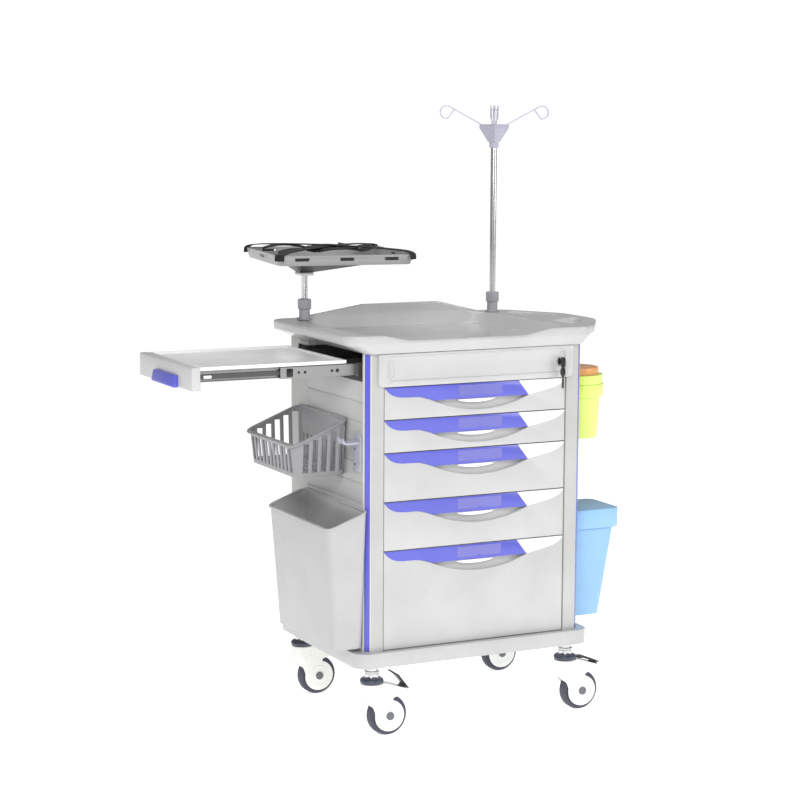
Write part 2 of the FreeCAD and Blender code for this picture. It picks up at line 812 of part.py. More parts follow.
def lock_key():
    """The key with the plug it turns, and the spare key that hangs from its bow."""
    face = FRONT_FACE - FASCIA_T + FASCIA_PANEL_DEPTH - LOCK_PROUD
    z = lock_z()
    plug = crosswise(PLUG_R, LOCK_X, z, face - 1, face + LOCK_LENGTH)
    half_t = KEY_HEAD_T / 2
    half_neck = PLUG_R - 1
    blade = block(LOCK_X - half_t, face - KEY_NECK, z - half_neck, LOCK_X + half_t, face, z + half_neck)
    far = face - KEY_NECK
    bow = side_plate(
        rectangle(far - KEY_HEAD_W, z - KEY_HEAD_H / 2, far, z + KEY_HEAD_H / 2, KEY_HEAD_W * 0.45),
        LOCK_X - KEY_HEAD_T / 2,
        LOCK_X + KEY_HEAD_T / 2,
    )
    spare_y = far - KEY_HEAD_W / 2
    spare_top = z - KEY_HEAD_H / 2 - 1
    spare_bow = side_plate(
        rectangle(
            spare_y - KEY_HEAD_W / 2,
            spare_top - SPARE_KEY_DROP,
            spare_y + KEY_HEAD_W / 2,
            spare_top,
            KEY_HEAD_W * 0.45,
        ),
        LOCK_X - KEY_HEAD_T / 2,
        LOCK_X + KEY_HEAD_T / 2,
    )
    spare_low = spare_top - SPARE_KEY_DROP
    spare_blade = block(
        LOCK_X - 1, spare_y - 4, spare_low - SPARE_KEY_BLADE, LOCK_X + 1, spare_y + 4, spare_low + 2
    )
    link = crosswise(2, LOCK_X, spare_top + 1, spare_y - 2, spare_y + 2)
    return [joined([plug, blade, bow, link, spare_bow, spare_blade])]


# ---- drawers -----------------------------------------------------------------------------------
def accent_corners(top):
    """Front outline of the coloured swoosh along the top of a drawer front."""
    left = -DRAWER_HALF_W + DRAWER_SIDE_GAP
    scale = -left * 2 / 500.0
    return [
        (left, top, 0),
        (left + 24 * scale, top - 20, 30),
        (left + 92 * scale, top - 26, 60),
        (left + POCKET_LEFT * scale, top - POCKET_TOP, 6),
        (left + ACCENT_BOTTOM_RIGHT * scale, top - POCKET_TOP, 4),
        (left + ACCENT_TOP_RIGHT * scale, top, 0),
    ]


def pocket_face(top, y):
    """The finger pocket's outline: straight above, one shallow arc below."""
    left = -DRAWER_HALF_W + DRAWER_SIDE_GAP
    scale = -left * 2 / 500.0
    x0 = left + POCKET_LEFT * scale
    x1 = left + POCKET_RIGHT * scale
    z0 = top - POCKET_TOP
    a = vec(x0, y, z0)
    b = vec(x1, y, z0)
    low = vec((x0 + x1) / 2, y, z0 - POCKET_SAG)
    return Part.Face(Part.Wire([Part.LineSegment(a, b).toShape(), Part.Arc(b, low, a).toShape()]))


def drawer_front(index):
    """Moulded drawer front with the finger pocket sunk into it and a seat for its inlay."""
    low, top = drawer_span(index)
    half = DRAWER_HALF_W - DRAWER_SIDE_GAP
    back = DRAWER_FACE + FRONT_DEPTH
    outer = block(-half, DRAWER_FACE, low, half, back, top)
    pocket = pocket_face(top, DRAWER_FACE - CUT).extrude(vec(0, POCKET_DEPTH + CUT, 0))
    inlay = plate(accent_corners(top), DRAWER_FACE - CUT, DRAWER_FACE + ACCENT_T - ACCENT_PROUD)
    return outer.cut([pocket, inlay])


def drawer_accent(index):
    """Coloured inlay of one drawer front."""
    top = drawer_span(index)[1]
    y0 = DRAWER_FACE - ACCENT_PROUD
    return plate(accent_corners(top), y0, y0 + ACCENT_T)


def tub_box(index, inset):
    """Corner values of a drawer tub, drawn in by inset on the sides, front, back and floor."""
    low, top = drawer_span(index)
    half = DRAWER_HALF_W - TUB_SIDE_GAP - inset
    y0 = DRAWER_FACE + FRONT_DEPTH + inset
    y1 = DRAWER_FACE + FRONT_DEPTH + TUB_LENGTH - inset
    return half, y0, y1, low + TUB_BOTTOM_GAP + inset, top - TUB_TOP_GAP


def drawer_tub(index):
    """Open drawer tub with a moulded running rib on each side."""
    half, y0, y1, z0, z1 = tub_box(index, 0)
    outer = slab(rectangle(-half, y0, half, y1, 8), z0, z1)
    in_half, in_y0, in_y1, in_z0, in_z1 = tub_box(index, TUB_WALL)
    inner = slab(rectangle(-in_half, in_y0, in_half, in_y1, 6), in_z0, in_z1 + CUT)
    rib_z = drawer_rib_z(index)
    reach = DRAWER_HALF_W - LINER_T - CHANNEL_T - RIB_PLAY
    rib_y0 = y0 + 12
    ribs = [
        block(-reach, rib_y0, rib_z - RIB_H / 2, -half + 1, y1 - 12, rib_z + RIB_H / 2),
        block(half - 1, rib_y0, rib_z - RIB_H / 2, reach, y1 - 12, rib_z + RIB_H / 2),
    ]
    return joined([outer.cut(inner)] + ribs)


# ---- side shelf --------------------------------------------------------------------------------
def shelf_x():
    """X of the pulled-out shelf: front face, back of the front panel, inner end of the tray."""
    closed_back = -HALF_W - SHELF_CLOSED_GAP
    back = closed_back - SHELF_TRAVEL
    return back - SHELF_FRONT_T, back, back + SHELF_LENGTH


def shelf_y():
    """Near and far edges of the shelf tray's rim."""
    near = FRONT_FACE + SHELF_NEAR_GAP
    return near, near + SHELF_W


def shelf_body_y():
    """Near and far sides of the tray's body, which leave room for the slides under the rim."""
    near, far = shelf_y()
    return near + SLIDE_DEPTH + SLIDE_PLAY, far - SLIDE_DEPTH - SLIDE_PLAY


def shelf_tray():
    """Shallow tray of the shelf: a wide rim with a recess over a narrower body that is hollow below."""
    x0, x1 = shelf_x()[1:]
    y0, y1 = shelf_y()
    body_y0, body_y1 = shelf_body_y()
    z0 = SHELF_TOP - SHELF_H
    floor = SHELF_TOP - SHELF_RECESS
    rim = block(x0, y0, SHELF_TOP - SHELF_RIM_H, x1, y1, SHELF_TOP)
    body = block(x0, body_y0, z0, x1, body_y1, SHELF_TOP - SHELF_RIM_H)
    wall = SHELF_WALL * 2
    recess = slab(rectangle(x0 + wall, y0 + wall, x1 - wall, y1 - wall, 10), floor, SHELF_TOP + CUT)
    below = block(
        x0 + SHELF_WALL,
        body_y0 + SHELF_WALL,
        z0 - CUT,
        x1 - SHELF_WALL,
        body_y1 - SHELF_WALL,
        floor - SHELF_WALL,
    )
    return joined([rim, body]).cut(recess).cut(below)


def shelf_front():
    """Upright panel on the shelf's outer end, which closes the opening."""
    x0, x1 = shelf_x()[:2]
    y0 = FRONT_FACE + SHELF_FRONT_NEAR
    return block(x0, y0, SHELF_TOP - SHELF_FRONT_H, x1, y0 + SHELF_FRONT_W, SHELF_TOP)


def shelf_handle():
    """Coloured pull block on the lower edge of the shelf's front panel."""
    x1 = shelf_x()[0]
    y0 = FRONT_FACE + SHELF_HANDLE_NEAR
    z0 = SHELF_TOP - SHELF_FRONT_H
    profile = [
        (x1 - SHELF_HANDLE_T, z0, 4),
        (x1, z0, 0),
        (x1, z0 + SHELF_HANDLE_H, 0),
        (x1 - SHELF_HANDLE_T * 0.6, z0 + SHELF_HANDLE_H, 5),
    ]
    return plate(profile, y0, y0 + SHELF_HANDLE_W)


def shelf_runners():
    """Inner slide members screwed to the tray's two sides."""
    x0, x1 = shelf_x()[1:]
    z0, z1 = slide_z()
    step = 2 * (SLIDE_T + SLIDE_PLAY)
    y0, y1 = shelf_body_y()
    depth = SLIDE_DEPTH * 0.55
    return [
        slide_member(x0, x1, z0 + step, z1 - step, y0, -1, depth),
        slide_member(x0, x1, z0 + step, z1 - step, y1, 1, depth),
    ]


def shelf_mid_rails():
    """Middle slide members, half way out."""
    x0, x1 = slide_fixed_x()
    shift = SHELF_TRAVEL / 2
    z0, z1 = slide_z()
    step = SLIDE_T + SLIDE_PLAY
    near, far = shelf_slide_y()
    depth = SLIDE_DEPTH * 0.7
    members = []
    for face, inward in ((near, 1), (far, -1)):
        web = face + inward * (SLIDE_T + SLIDE_PLAY)
        members.append(
            slide_member(x0 - shift, x1 - shift, z0 + step, z1 - step, web, inward, depth)
        )
    return members


# ---- worktop -----------------------------------------------------------------------------------
def tray_wall_x():
    """Inner left and right edges of the worktop's tray at the rim."""
    return -HALF_W - TOP_LEFT_OVERHANG + TRAY_RIM_LEFT, HALF_W + TOP_RIGHT_OVERHANG - TRAY_RIM_RIGHT


def tray_wall_y():
    """Inner front and rear edges of the worktop's tray at the rim."""
    front = -HALF_D - TOP_FRONT_OVERHANG + TRAY_RIM_FRONT
    return front, HALF_D + TOP_REAR_OVERHANG - TRAY_RIM_REAR


def grip_corners(side):
    """Plan outline of one hand grip; side is +1 for the rear one."""
    x0 = HALF_W + GRIP_INNER
    return [
        (x0, side * GRIP_FAR, GRIP_R),
        (x0 + GRIP_REACH - 5, side * GRIP_NEAR, GRIP_R),
        (x0 + GRIP_REACH, side * (GRIP_NEAR + 30), GRIP_R),
        (x0 + GRIP_REACH * 0.62, side * (GRIP_END - 42), GRIP_R * 3),
        (x0 + GRIP_REACH * 0.2, side * GRIP_END, GRIP_R),
        (x0, side * (GRIP_END - 6), GRIP_R),
    ]


def worktop():
    """Moulded tray top with flared underside, back guard and the push-handle wing."""
    left = -HALF_W - TOP_LEFT_OVERHANG
    right = HALF_W + TOP_RIGHT_OVERHANG
    front = -HALF_D - TOP_FRONT_OVERHANG
    rear = HALF_D + TOP_REAR_OVERHANG
    radius = TOP_CORNER_R
    foot = rectangle(-HALF_W, front + 7, HALF_W, rear - 7, radius / 2)
    lip = rectangle(left, front, right, rear, radius)
    flare_top = TOP_LOW + TOP_FLARE_H
    flare = tapered(foot, TOP_LOW, lip, flare_top)
    rim = slab(lip, flare_top, RIM_Z)
    nose = HALF_W + TOP_RIGHT_OVERHANG + WING_REACH
    start = HALF_W
    wing_plan = [
        (start, -WING_HALF, 0),
        (right, -WING_HALF, 20),
        (nose, -WING_NOSE_HALF, WING_NOSE_R),
        (nose, WING_NOSE_HALF, WING_NOSE_R),
        (right, WING_HALF, 20),
        (start, WING_HALF, 0),
    ]
    wing = slab(wing_plan, RIM_Z - WING_T, RIM_Z)
    guard_back = rear - 4
    guard_low = RIM_Z - 10
    tray_x0, tray_x1 = tray_wall_x()
    guard = plate(
        [
            (tray_x0 + 20, guard_low, 0),
            (tray_x1 - 5, guard_low, 0),
            (tray_x1 - 5, RIM_Z, 10),
            (GUARD_FLAT_RIGHT, RIM_Z + GUARD_RISE, 90),
            (GUARD_FLAT_LEFT, RIM_Z + GUARD_RISE, 90),
            (tray_x0 + 20, RIM_Z, 10),
        ],
        guard_back - GUARD_T,
        guard_back,
    )
    body = joined([flare, rim, wing, guard])
    tray_y0, tray_y1 = tray_wall_y()
    floor = TOP_LOW + TOP_FLOOR_H
    slope = TRAY_SLOPE
    recess = tapered(
        rectangle(tray_x0 + slope, tray_y0 + slope / 2, tray_x1 - slope, tray_y1 - slope / 2, TRAY_CORNER_R),
        floor,
        rectangle(tray_x0, tray_y0, tray_x1, tray_y1, TRAY_CORNER_R),
        RIM_Z + CUT,
    )
    dip = plate(
        [
            (TOP_DIP_LEFT - TOP_DIP_RAMP, RIM_Z + CUT, 0),
            (TOP_DIP_LEFT, RIM_Z - TOP_FRONT_DIP, 120),
            (TOP_DIP_RIGHT, RIM_Z - TOP_FRONT_DIP, 120),
            (TOP_DIP_RIGHT + TOP_DIP_RAMP, RIM_Z + CUT, 0),
        ],
        front - CUT,
        tray_y0 + slope,
    )
    cuts = [recess, dip]
    for side in (-1, 1):
        cuts.append(slab(grip_corners(side), TOP_LOW - CUT, RIM_Z + CUT))
    for x in (POST_X, IV_X):
        cuts.append(upright(SOCKET_TUBE_R, x, POLE_Y, TOP_LOW - CUT, RIM_Z + GUARD_RISE + CUT))
        cuts.append(upright(SOCKET_DISC_R, x, POLE_Y, RIM_Z, RIM_Z + GUARD_RISE + CUT))
    return body.cut(cuts)


# ---- poles -------------------------------------------------------------------------------------
def pole_socket(x, pole_r):
    """Disc, collar and guide tube of one pole."""
    bottom = RIM_Z - SOCKET_TUBE_L
    top = RIM_Z + SOCKET_H
    solid = joined([
        upright(SOCKET_DISC_R, x, POLE_Y, RIM_Z, RIM_Z + SOCKET_DISC_T),
        upright(SOCKET_R, x, POLE_Y, RIM_Z, top),
        upright(SOCKET_TUBE_R, x, POLE_Y, bottom, top),
    ])
    return solid.cut(upright(pole_r + RUNNING, x, POLE_Y, bottom - CUT, top + CUT))


def knob(x, pole_r):
    """Fluted clamp ring on top of a pole socket."""
    z0 = RIM_Z + SOCKET_H + SEAT_GAP
    z1 = z0 + KNOB_H
    body = ring(KNOB_R, pole_r + RUNNING, x, POLE_Y, z0, z1)
    flutes = []
    for step in range(KNOB_FLUTES):
        angle = 2 * math.pi * step / KNOB_FLUTES
        flutes.append(
            upright(
                KNOB_FLUTE_R,
                x + KNOB_R * math.cos(angle),
                POLE_Y + KNOB_R * math.sin(angle),
                z0 + KNOB_H / 5,
                z1 - KNOB_H / 8,
            )
        )
    return body.cut(flutes)


def iv_turned(shape):
    """Turns a shape drawn about the pole into the head's resting direction."""
    placed = shape.copy()
    placed.translate(vec(IV_X, POLE_Y, 0))
    placed.rotate(vec(IV_X, POLE_Y, 0), Z_AXIS, IV_HEAD_TURN_DEG)
    return placed


def diamond(half_diagonal, radius):
    """Corners of a square whose corners lie on the X and Y axes."""
    reach = half_diagonal
    return [(reach, 0, radius), (0, reach, radius), (-reach, 0, radius), (0, -reach, radius)]


def iv_head():
    """Four-sided plastic head, flaring up from its collar to a flat square rim."""
    low = IV_HEAD_LOW
    top = low + IV_HEAD_H
    collar_top = low + IV_HEAD_COLLAR_H
    rim_z = top - IV_HEAD_RIM_H
    half_diagonal = IV_HEAD_SIDE / math.sqrt(2)
    corner = IV_HEAD_CORNER_R
    flare = tapered(
        diamond(IV_HEAD_COLLAR_R * math.sqrt(2), corner), collar_top, diamond(half_diagonal, corner), rim_z
    )
    solid = joined([
        upright(IV_HEAD_COLLAR_R, 0, 0, low, collar_top + 1),
        flare,
        slab(diamond(half_diagonal, corner), rim_z, top),
    ])
    bore = upright(IV_POLE_R + RUNNING, 0, 0, low - CUT, IV_POLE_TOP + SEAT_GAP)
    return iv_turned(solid.cut(bore))


def rod(radius, start, end):
    """Round rod between two points, with a ball at its far end."""
    run = end - start
    return [Part.makeCylinder(radius, run.Length, start, run), Part.makeSphere(radius, end)]


def iv_hook():
    """One hook reaching along +X: a doubled wire that rises, curls over into an eye and returns."""
    top = IV_HEAD_LOW + IV_HEAD_H
    wire = IV_HOOK_WIRE_R
    eye = (IV_HOOK_REACH - IV_HOOK_EYE_R - wire, top + IV_HOOK_RISE)
    slope = math.radians(IV_HOOK_SLOPE_DEG)
    start_angle = slope + math.pi / 2
    end_angle = start_angle - math.radians(IV_HOOK_WRAP_DEG)
    touch = (
        eye[0] + IV_HOOK_EYE_R * math.cos(start_angle),
        eye[1] + IV_HOOK_EYE_R * math.sin(start_angle),
    )
    leave = (eye[0] + IV_HOOK_EYE_R * math.cos(end_angle), eye[1] + IV_HOOK_EYE_R * math.sin(end_angle))
    foot = (IV_HOOK_FOOT, touch[1] - (touch[0] - IV_HOOK_FOOT) * math.tan(slope))
    back = (
        eye[0] - IV_HOOK_EYE_R * 1.2,
        touch[1] - (touch[0] - eye[0] + IV_HOOK_EYE_R * 1.2) * math.tan(slope) - wire,
    )
    pieces = []
    for side in (-1, 1):
        y = side * IV_HOOK_PAIR_GAP / 2
        pieces += rod(wire, vec(foot[0], y, top - 4), vec(foot[0], y, foot[1]))
        pieces += rod(wire, vec(foot[0], y, foot[1]), vec(touch[0], y, touch[1]))
        centre = vec(eye[0], y, eye[1])
        along = vec(math.cos(slope), 0, math.sin(slope))
        section = Part.Face(Part.Wire(Part.makeCircle(wire, vec(touch[0], y, touch[1]), along)))
        pieces.append(section.revolve(centre, vec(0, 1, 0), IV_HOOK_WRAP_DEG))
        pieces.append(Part.makeSphere(wire, vec(leave[0], y, leave[1])))
        pieces += rod(wire, vec(leave[0], y, leave[1]), vec(back[0], y, back[1]))
    half_gap = IV_HOOK_PAIR_GAP / 2
    pieces.append(crosswise(wire, back[0], back[1], -half_gap, half_gap))
    return joined(pieces)


def iv_hooks():
    """Four hooks at right angles, one from each corner of the head, set into its rim."""
    hook = iv_hook()
    rim = diamond(IV_HEAD_SIDE / math.sqrt(2), IV_HEAD_CORNER_R)
    hook = hook.cut(slab(rim, IV_HEAD_LOW, IV_HEAD_LOW + IV_HEAD_H))
    origin = vec(0, 0, 0)
    return [iv_turned(turned_about(hook, origin, Z_AXIS, 90 * step)) for step in range(4)]


def platform_post():
    """Post with its square hub plate and the spigot that the tray turns on."""
    low = POST_TOP - POST_LENGTH
    half = HUB_PLATE_W / 2
    plate_top = POST_TOP + HUB_PLATE_T
    hub = slab(
        rectangle(POST_X - half, POLE_Y - half, POST_X + half, POLE_Y + half, 4), POST_TOP, plate_top
    )
    return joined([
        upright(POST_R, POST_X, POLE_Y, low, POST_TOP + 1),
        hub,
        upright(SPIGOT_R, POST_X, POLE_Y, POST_TOP, plate_top + SPIGOT_H),
    ])


def platform_local(shape):
    """Turns a shape drawn about the post into the platform's resting direction."""
    placed = shape.copy()
    placed.translate(vec(POST_X, POLE_Y, 0))
    placed.rotate(vec(POST_X, POLE_Y, 0), Z_AXIS, PLATFORM_TURN_DEG)
    return placed


def platform_plan(grow):
    """Plan outline of the platform about the post, widened by grow."""
    half_w = PLATFORM_W / 2 + grow
    half_d = PLATFORM_D / 2 + grow
    cx = PLATFORM_OFFSET_X
    cy = PLATFORM_OFFSET_Y
    return rectangle(cx - half_w, cy - half_d, cx + half_w, cy + half_d, PLATFORM_CORNER_R)


def platform_tray():
    """Platform with flared rim, strap slots and the bracket beneath that turns on the post."""
    low = PLATFORM_BOTTOM
    top = low + PLATFORM_H
    wall = PLATFORM_WALL
    outer = tapered(platform_plan(0), low, platform_plan(PLATFORM_FLARE), top)
    inner = tapered(platform_plan(-wall), low + wall, platform_plan(PLATFORM_FLARE - wall), top)
    lid = slab(platform_plan(PLATFORM_FLARE - wall), top - CUT / 100, top + CUT)
    shell = outer.cut(inner).cut(lid)
    half_w = PLATFORM_W / 2 + PLATFORM_FLARE + CUT
    half_d = PLATFORM_D / 2 + PLATFORM_FLARE + CUT
    cx = PLATFORM_OFFSET_X
    cy = PLATFORM_OFFSET_Y
    slot_z = low + PLATFORM_H * 0.55
    half_slot = PLATFORM_SLOT_W / 2
    slots = []
    for share in (-0.33, 0.0, 0.33):
        x = cx + PLATFORM_W * share
        slots.append(
            block(x - half_slot, cy - half_d, slot_z, x + half_slot, cy + half_d, slot_z + PLATFORM_SLOT_H)
        )
    slots.append(
        block(cx - half_w, cy - half_slot, slot_z, cx + half_w, cy + half_slot, slot_z + PLATFORM_SLOT_H)
    )
    half_hub = HUB_PLATE_W / 2
    foot_z = POST_TOP + HUB_PLATE_T + SEAT_GAP
    bracket = tapered(
        rectangle(-half_hub, -half_hub, half_hub, half_hub, 4),
        foot_z,
        rectangle(
            cx - PLATFORM_BRACKET_W / 2,
            cy - PLATFORM_BRACKET_D / 2,
            cx + PLATFORM_BRACKET_W / 2,
            cy + PLATFORM_BRACKET_D / 2,
            4,
        ),
        low,
    )
    bore = upright(SPIGOT_R + RUNNING, 0, 0, foot_z - CUT, POST_TOP + HUB_PLATE_T + SPIGOT_H + SEAT_GAP)
    return platform_local(joined([shell.cut(slots), bracket]).cut(bore))


def platform_straps():
    """Two webbing straps crossing over the platform from corner to corner."""
    top = PLATFORM_BOTTOM + PLATFORM_H
    half_w = PLATFORM_W / 2
    half_d = PLATFORM_D / 2
    reach = math.hypot(half_w, half_d) - 6
    cx = PLATFORM_OFFSET_X
    cy = PLATFORM_OFFSET_Y
    centre = vec(cx, cy, 0)
    lean = math.degrees(math.atan2(half_d, half_w))
    strap = block(cx - reach, cy - STRAP_W / 2, top, cx + reach, cy + STRAP_W / 2, top + STRAP_T)
    crossed = [turned_about(strap, centre, Z_AXIS, angle) for angle in (lean, -lean)]
    return platform_local(joined(crossed))


# ---- hung pieces -------------------------------------------------------------------------------
def hung_shell(x_wall, reach, side, near, far, low, top, draft, wall, radius, slope_deg):
    """Open tub against a side panel. side is -1 on the left. The rim falls away from the panel."""
    back = x_wall + side * HANG_GAP
    front = x_wall + side * reach
    slim = front - side * draft

    def plan(inset, at_top):
        reach_x = (front if at_top else slim) - side * inset
        rear_x = back + side * inset
        ease = 0 if at_top else draft
        xs = sorted((rear_x, reach_x))
        fit = max(radius - inset, 2)
        return rectangle(xs[0], near + ease + inset, xs[1], far - ease / 2 - inset, fit)

    outer = tapered(plan(0, False), low, plan(0, True), top)
    inner = tapered(plan(wall, False), low + wall, plan(wall, True), top + CUT)
    shell = outer.cut(inner)
    drop = reach * math.tan(math.radians(slope_deg))
    high = top + 2 * reach
    xs = (x_wall, front + side * reach)
    wedge = plate(
        [
            (xs[0], top, 0),
            (xs[1], top - drop * abs(xs[1] - xs[0]) / reach, 0),
            (xs[1], high, 0),
            (xs[0], high, 0),
        ],
        near - CUT,
        far + CUT,
    )
    return shell.cut(wedge)


def basket():
    """Side basket, as a plain walled shell."""
    return hung_shell(
        -HALF_W, BASKET_REACH, -1, BASKET_NEAR, BASKET_FAR, BASKET_LOW, BASKET_TOP,
        BASKET_DRAFT, BASKET_WALL, BASKET_R, BASKET_RIM_SLOPE_DEG,
    )


def waste_bin():
    """Tall open bin on the left side."""
    return hung_shell(
        -HALF_W, BIN_REACH, -1, BIN_NEAR, BIN_FAR, BIN_LOW, BIN_TOP,
        BIN_DRAFT, BIN_WALL, BIN_R, BIN_RIM_SLOPE_DEG,
    )


def double_hook():
    """Wall plate with two upturned prongs."""
    wall = -HALF_W
    y_mid = (HOOK_PLATE_NEAR + HOOK_PLATE_FAR) / 2
    corner = (HOOK_PLATE_FAR - HOOK_PLATE_NEAR) * 0.4
    back = side_plate(
        [
            (HOOK_PLATE_NEAR, HOOK_PLATE_LOW, 4),
            (HOOK_PLATE_FAR, HOOK_PLATE_LOW, 4),
            (HOOK_PLATE_FAR, HOOK_PLATE_TOP, corner),
            (HOOK_PLATE_NEAR, HOOK_PLATE_TOP, corner),
        ],
        wall - HOOK_PLATE_T,
        wall,
    )
    pieces = [back]
    for side in (-1, 1):
        y = y_mid + side * HOOK_PRONG_PITCH / 2
        tip = wall - HOOK_PLATE_T - HOOK_PRONG_L
        base = vec(wall - HOOK_PLATE_T + 1, y, HOOK_PRONG_Z)
        pieces.append(Part.makeCylinder(HOOK_PRONG_R, HOOK_PRONG_L + 1, base, vec(-1, 0, 0)))
        pieces.append(Part.makeSphere(HOOK_PRONG_R, vec(tip, y, HOOK_PRONG_Z)))
        pieces.append(upright(HOOK_PRONG_R, tip, y, HOOK_PRONG_Z, HOOK_PRONG_Z + HOOK_PRONG_TIP))
        pieces.append(Part.makeSphere(HOOK_PRONG_R, vec(tip, y, HOOK_PRONG_Z + HOOK_PRONG_TIP)))
    return joined(pieces)


def sharps_holder():
    """Ring on a wall plate that carries the sharps container."""
    inner = SHARPS_R + SHARPS_RING_PLAY
    outer = inner + SHARPS_RING_T
    back = block(
        HALF_W,
        SHARPS_Y - outer * 0.7,
        SHARPS_RING_LOW - SHARPS_RING_T * 4,
        HALF_W + SHARPS_BACK_T,
        SHARPS_Y + outer * 0.7,
        SHARPS_RING_TOP,
    )
    hoop = upright(outer, SHARPS_X, SHARPS_Y, SHARPS_RING_LOW, SHARPS_RING_TOP)
    gusset = block(
        HALF_W,
        SHARPS_Y - outer * 0.7,
        SHARPS_RING_LOW,
        SHARPS_X - inner * 0.5,
        SHARPS_Y + outer * 0.7,
        SHARPS_RING_TOP,
    )
    hole = upright(inner, SHARPS_X, SHARPS_Y, SHARPS_RING_LOW - 5 * SHARPS_RING_T, SHARPS_RING_TOP + CUT)
    return joined([back, hoop, gusset]).cut(hole)


def sharps_container():
    """Tapered tub that drops into the ring and rests on its shoulder."""
    shoulder = SHARPS_RING_TOP + SEAT_GAP
    cup = Part.makeCone(SHARPS_LOW_R, SHARPS_R, shoulder - SHARPS_LOW, vec(SHARPS_X, SHARPS_Y, SHARPS_LOW))
    collar = upright(SHARPS_TOP_R, SHARPS_X, SHARPS_Y, shoulder, SHARPS_TOP)
    wall = SHARPS_WALL
    hollow = Part.makeCone(
        SHARPS_LOW_R - wall,
        SHARPS_R - wall,
        shoulder - SHARPS_LOW - wall,
        vec(SHARPS_X, SHARPS_Y, SHARPS_LOW + wall),
    )
    chamber = upright(SHARPS_R - wall, SHARPS_X, SHARPS_Y, shoulder - CUT, SHARPS_TOP - wall)
    mouth = upright(SHARPS_MOUTH_R, SHARPS_X, SHARPS_Y, SHARPS_TOP - wall - CUT, SHARPS_TOP + CUT)
    return joined([cup, collar]).cut([hollow, chamber, mouth])


def sharps_lid():
    """Turning lid with a spigot that centres it in the mouth."""
    z0 = SHARPS_TOP + SEAT_GAP
    cap = Part.makeCone(SHARPS_LID_R, SHARPS_LID_R - 2, SHARPS_LID_H, vec(SHARPS_X, SHARPS_Y, z0))
    spigot = upright(SHARPS_MOUTH_R - SEAT_GAP, SHARPS_X, SHARPS_Y, z0 - SHARPS_WALL - 3, z0)
    roof = z0 + SHARPS_LID_H - 3
    under = upright(SHARPS_MOUTH_R - SHARPS_WALL, SHARPS_X, SHARPS_Y, z0 - SHARPS_WALL - 4, roof)
    return joined([cap, spigot]).cut(under)


def bin_pin():
    """X and Z of the lidded bin's hinge pin."""
    return HALF_W + LIDBIN_BARREL_R + 2, LIDBIN_LID_TOP - LIDBIN_BARREL_R


def lidded_bin():
    """Tapered bin with hinge lugs and the pin on its back edge."""
    play = LIDBIN_SKIRT_PLAY + LIDBIN_LID_T
    pin_x, pin_z = bin_pin()
    rim = pin_z - LIDBIN_BARREL_R - 1.5
    near = LIDBIN_NEAR + play
    far = LIDBIN_FAR - play
    back = HALF_W + HANG_GAP
    front = HALF_W + LIDBIN_REACH - play
    low = LIDBIN_LOW
    draft = LIDBIN_DRAFT
    wall = LIDBIN_WALL

    def plan(inset, ease):
        return rectangle(
            back + inset, near + ease / 2 + inset, front - ease - inset, far - ease / 2 - inset,
            LIDBIN_R - inset,
        )

    outer = tapered(plan(0, draft), low, plan(0, 0), rim)
    inner = tapered(plan(wall, draft), low + wall, plan(wall, 0), rim + CUT)
    pieces = [outer.cut(inner)]
    for y in (near + LIDBIN_R, far - LIDBIN_R - LIDBIN_LUG_W):
        pieces.append(block(back, y, rim - LIDBIN_R, pin_x + LIDBIN_PIN_R + 1, y + LIDBIN_LUG_W, pin_z))
        pieces.append(crosswise(LIDBIN_PIN_R + 1, pin_x, pin_z, y, y + LIDBIN_LUG_W))
    pieces.append(crosswise(LIDBIN_PIN_R, pin_x, pin_z, near + LIDBIN_R, far - LIDBIN_R))
    return joined(pieces)


def bin_lid():
    """Lid with a skirt on three sides and a hinge barrel between the lugs."""
    pin_x, pin_z = bin_pin()
    front = HALF_W + LIDBIN_REACH
    top = LIDBIN_LID_TOP
    low = top - LIDBIN_LID_H
    t = LIDBIN_LID_T
    play = LIDBIN_SKIRT_PLAY + LIDBIN_LID_T
    near = LIDBIN_NEAR
    far = LIDBIN_FAR
    plan = [(pin_x, near, 0), (front, near, LIDBIN_R), (front, far, LIDBIN_R), (pin_x, far, 0)]
    inner = [
        (pin_x - CUT, near + t, 0),
        (front - t, near + t, LIDBIN_R - t),
        (front - t, far - t, LIDBIN_R - t),
        (pin_x - CUT, far - t, 0),
    ]
    shell = slab(plan, low, top).cut(slab(inner, low - CUT, top - t))
    lug_near = near + play + LIDBIN_R + LIDBIN_LUG_W + SEAT_GAP
    lug_far = far - play - LIDBIN_R - LIDBIN_LUG_W - SEAT_GAP
    barrel = crosswise(LIDBIN_BARREL_R, pin_x, pin_z, lug_near, lug_far)
    bore = crosswise(LIDBIN_PIN_R + RUNNING, pin_x, pin_z, near - CUT, far + CUT)
    clear = LIDBIN_LUG_W + 2 * SEAT_GAP
    notches = []
    for y in (near + play + LIDBIN_R - SEAT_GAP, far - play - LIDBIN_R - LIDBIN_LUG_W - SEAT_GAP):
        reach = pin_x + LIDBIN_PIN_R + 3
        notches.append(block(pin_x - CUT, y, pin_z - 6, reach, y + clear, top + CUT))
    return joined([shell, barrel]).cut(notches).cut(bore)


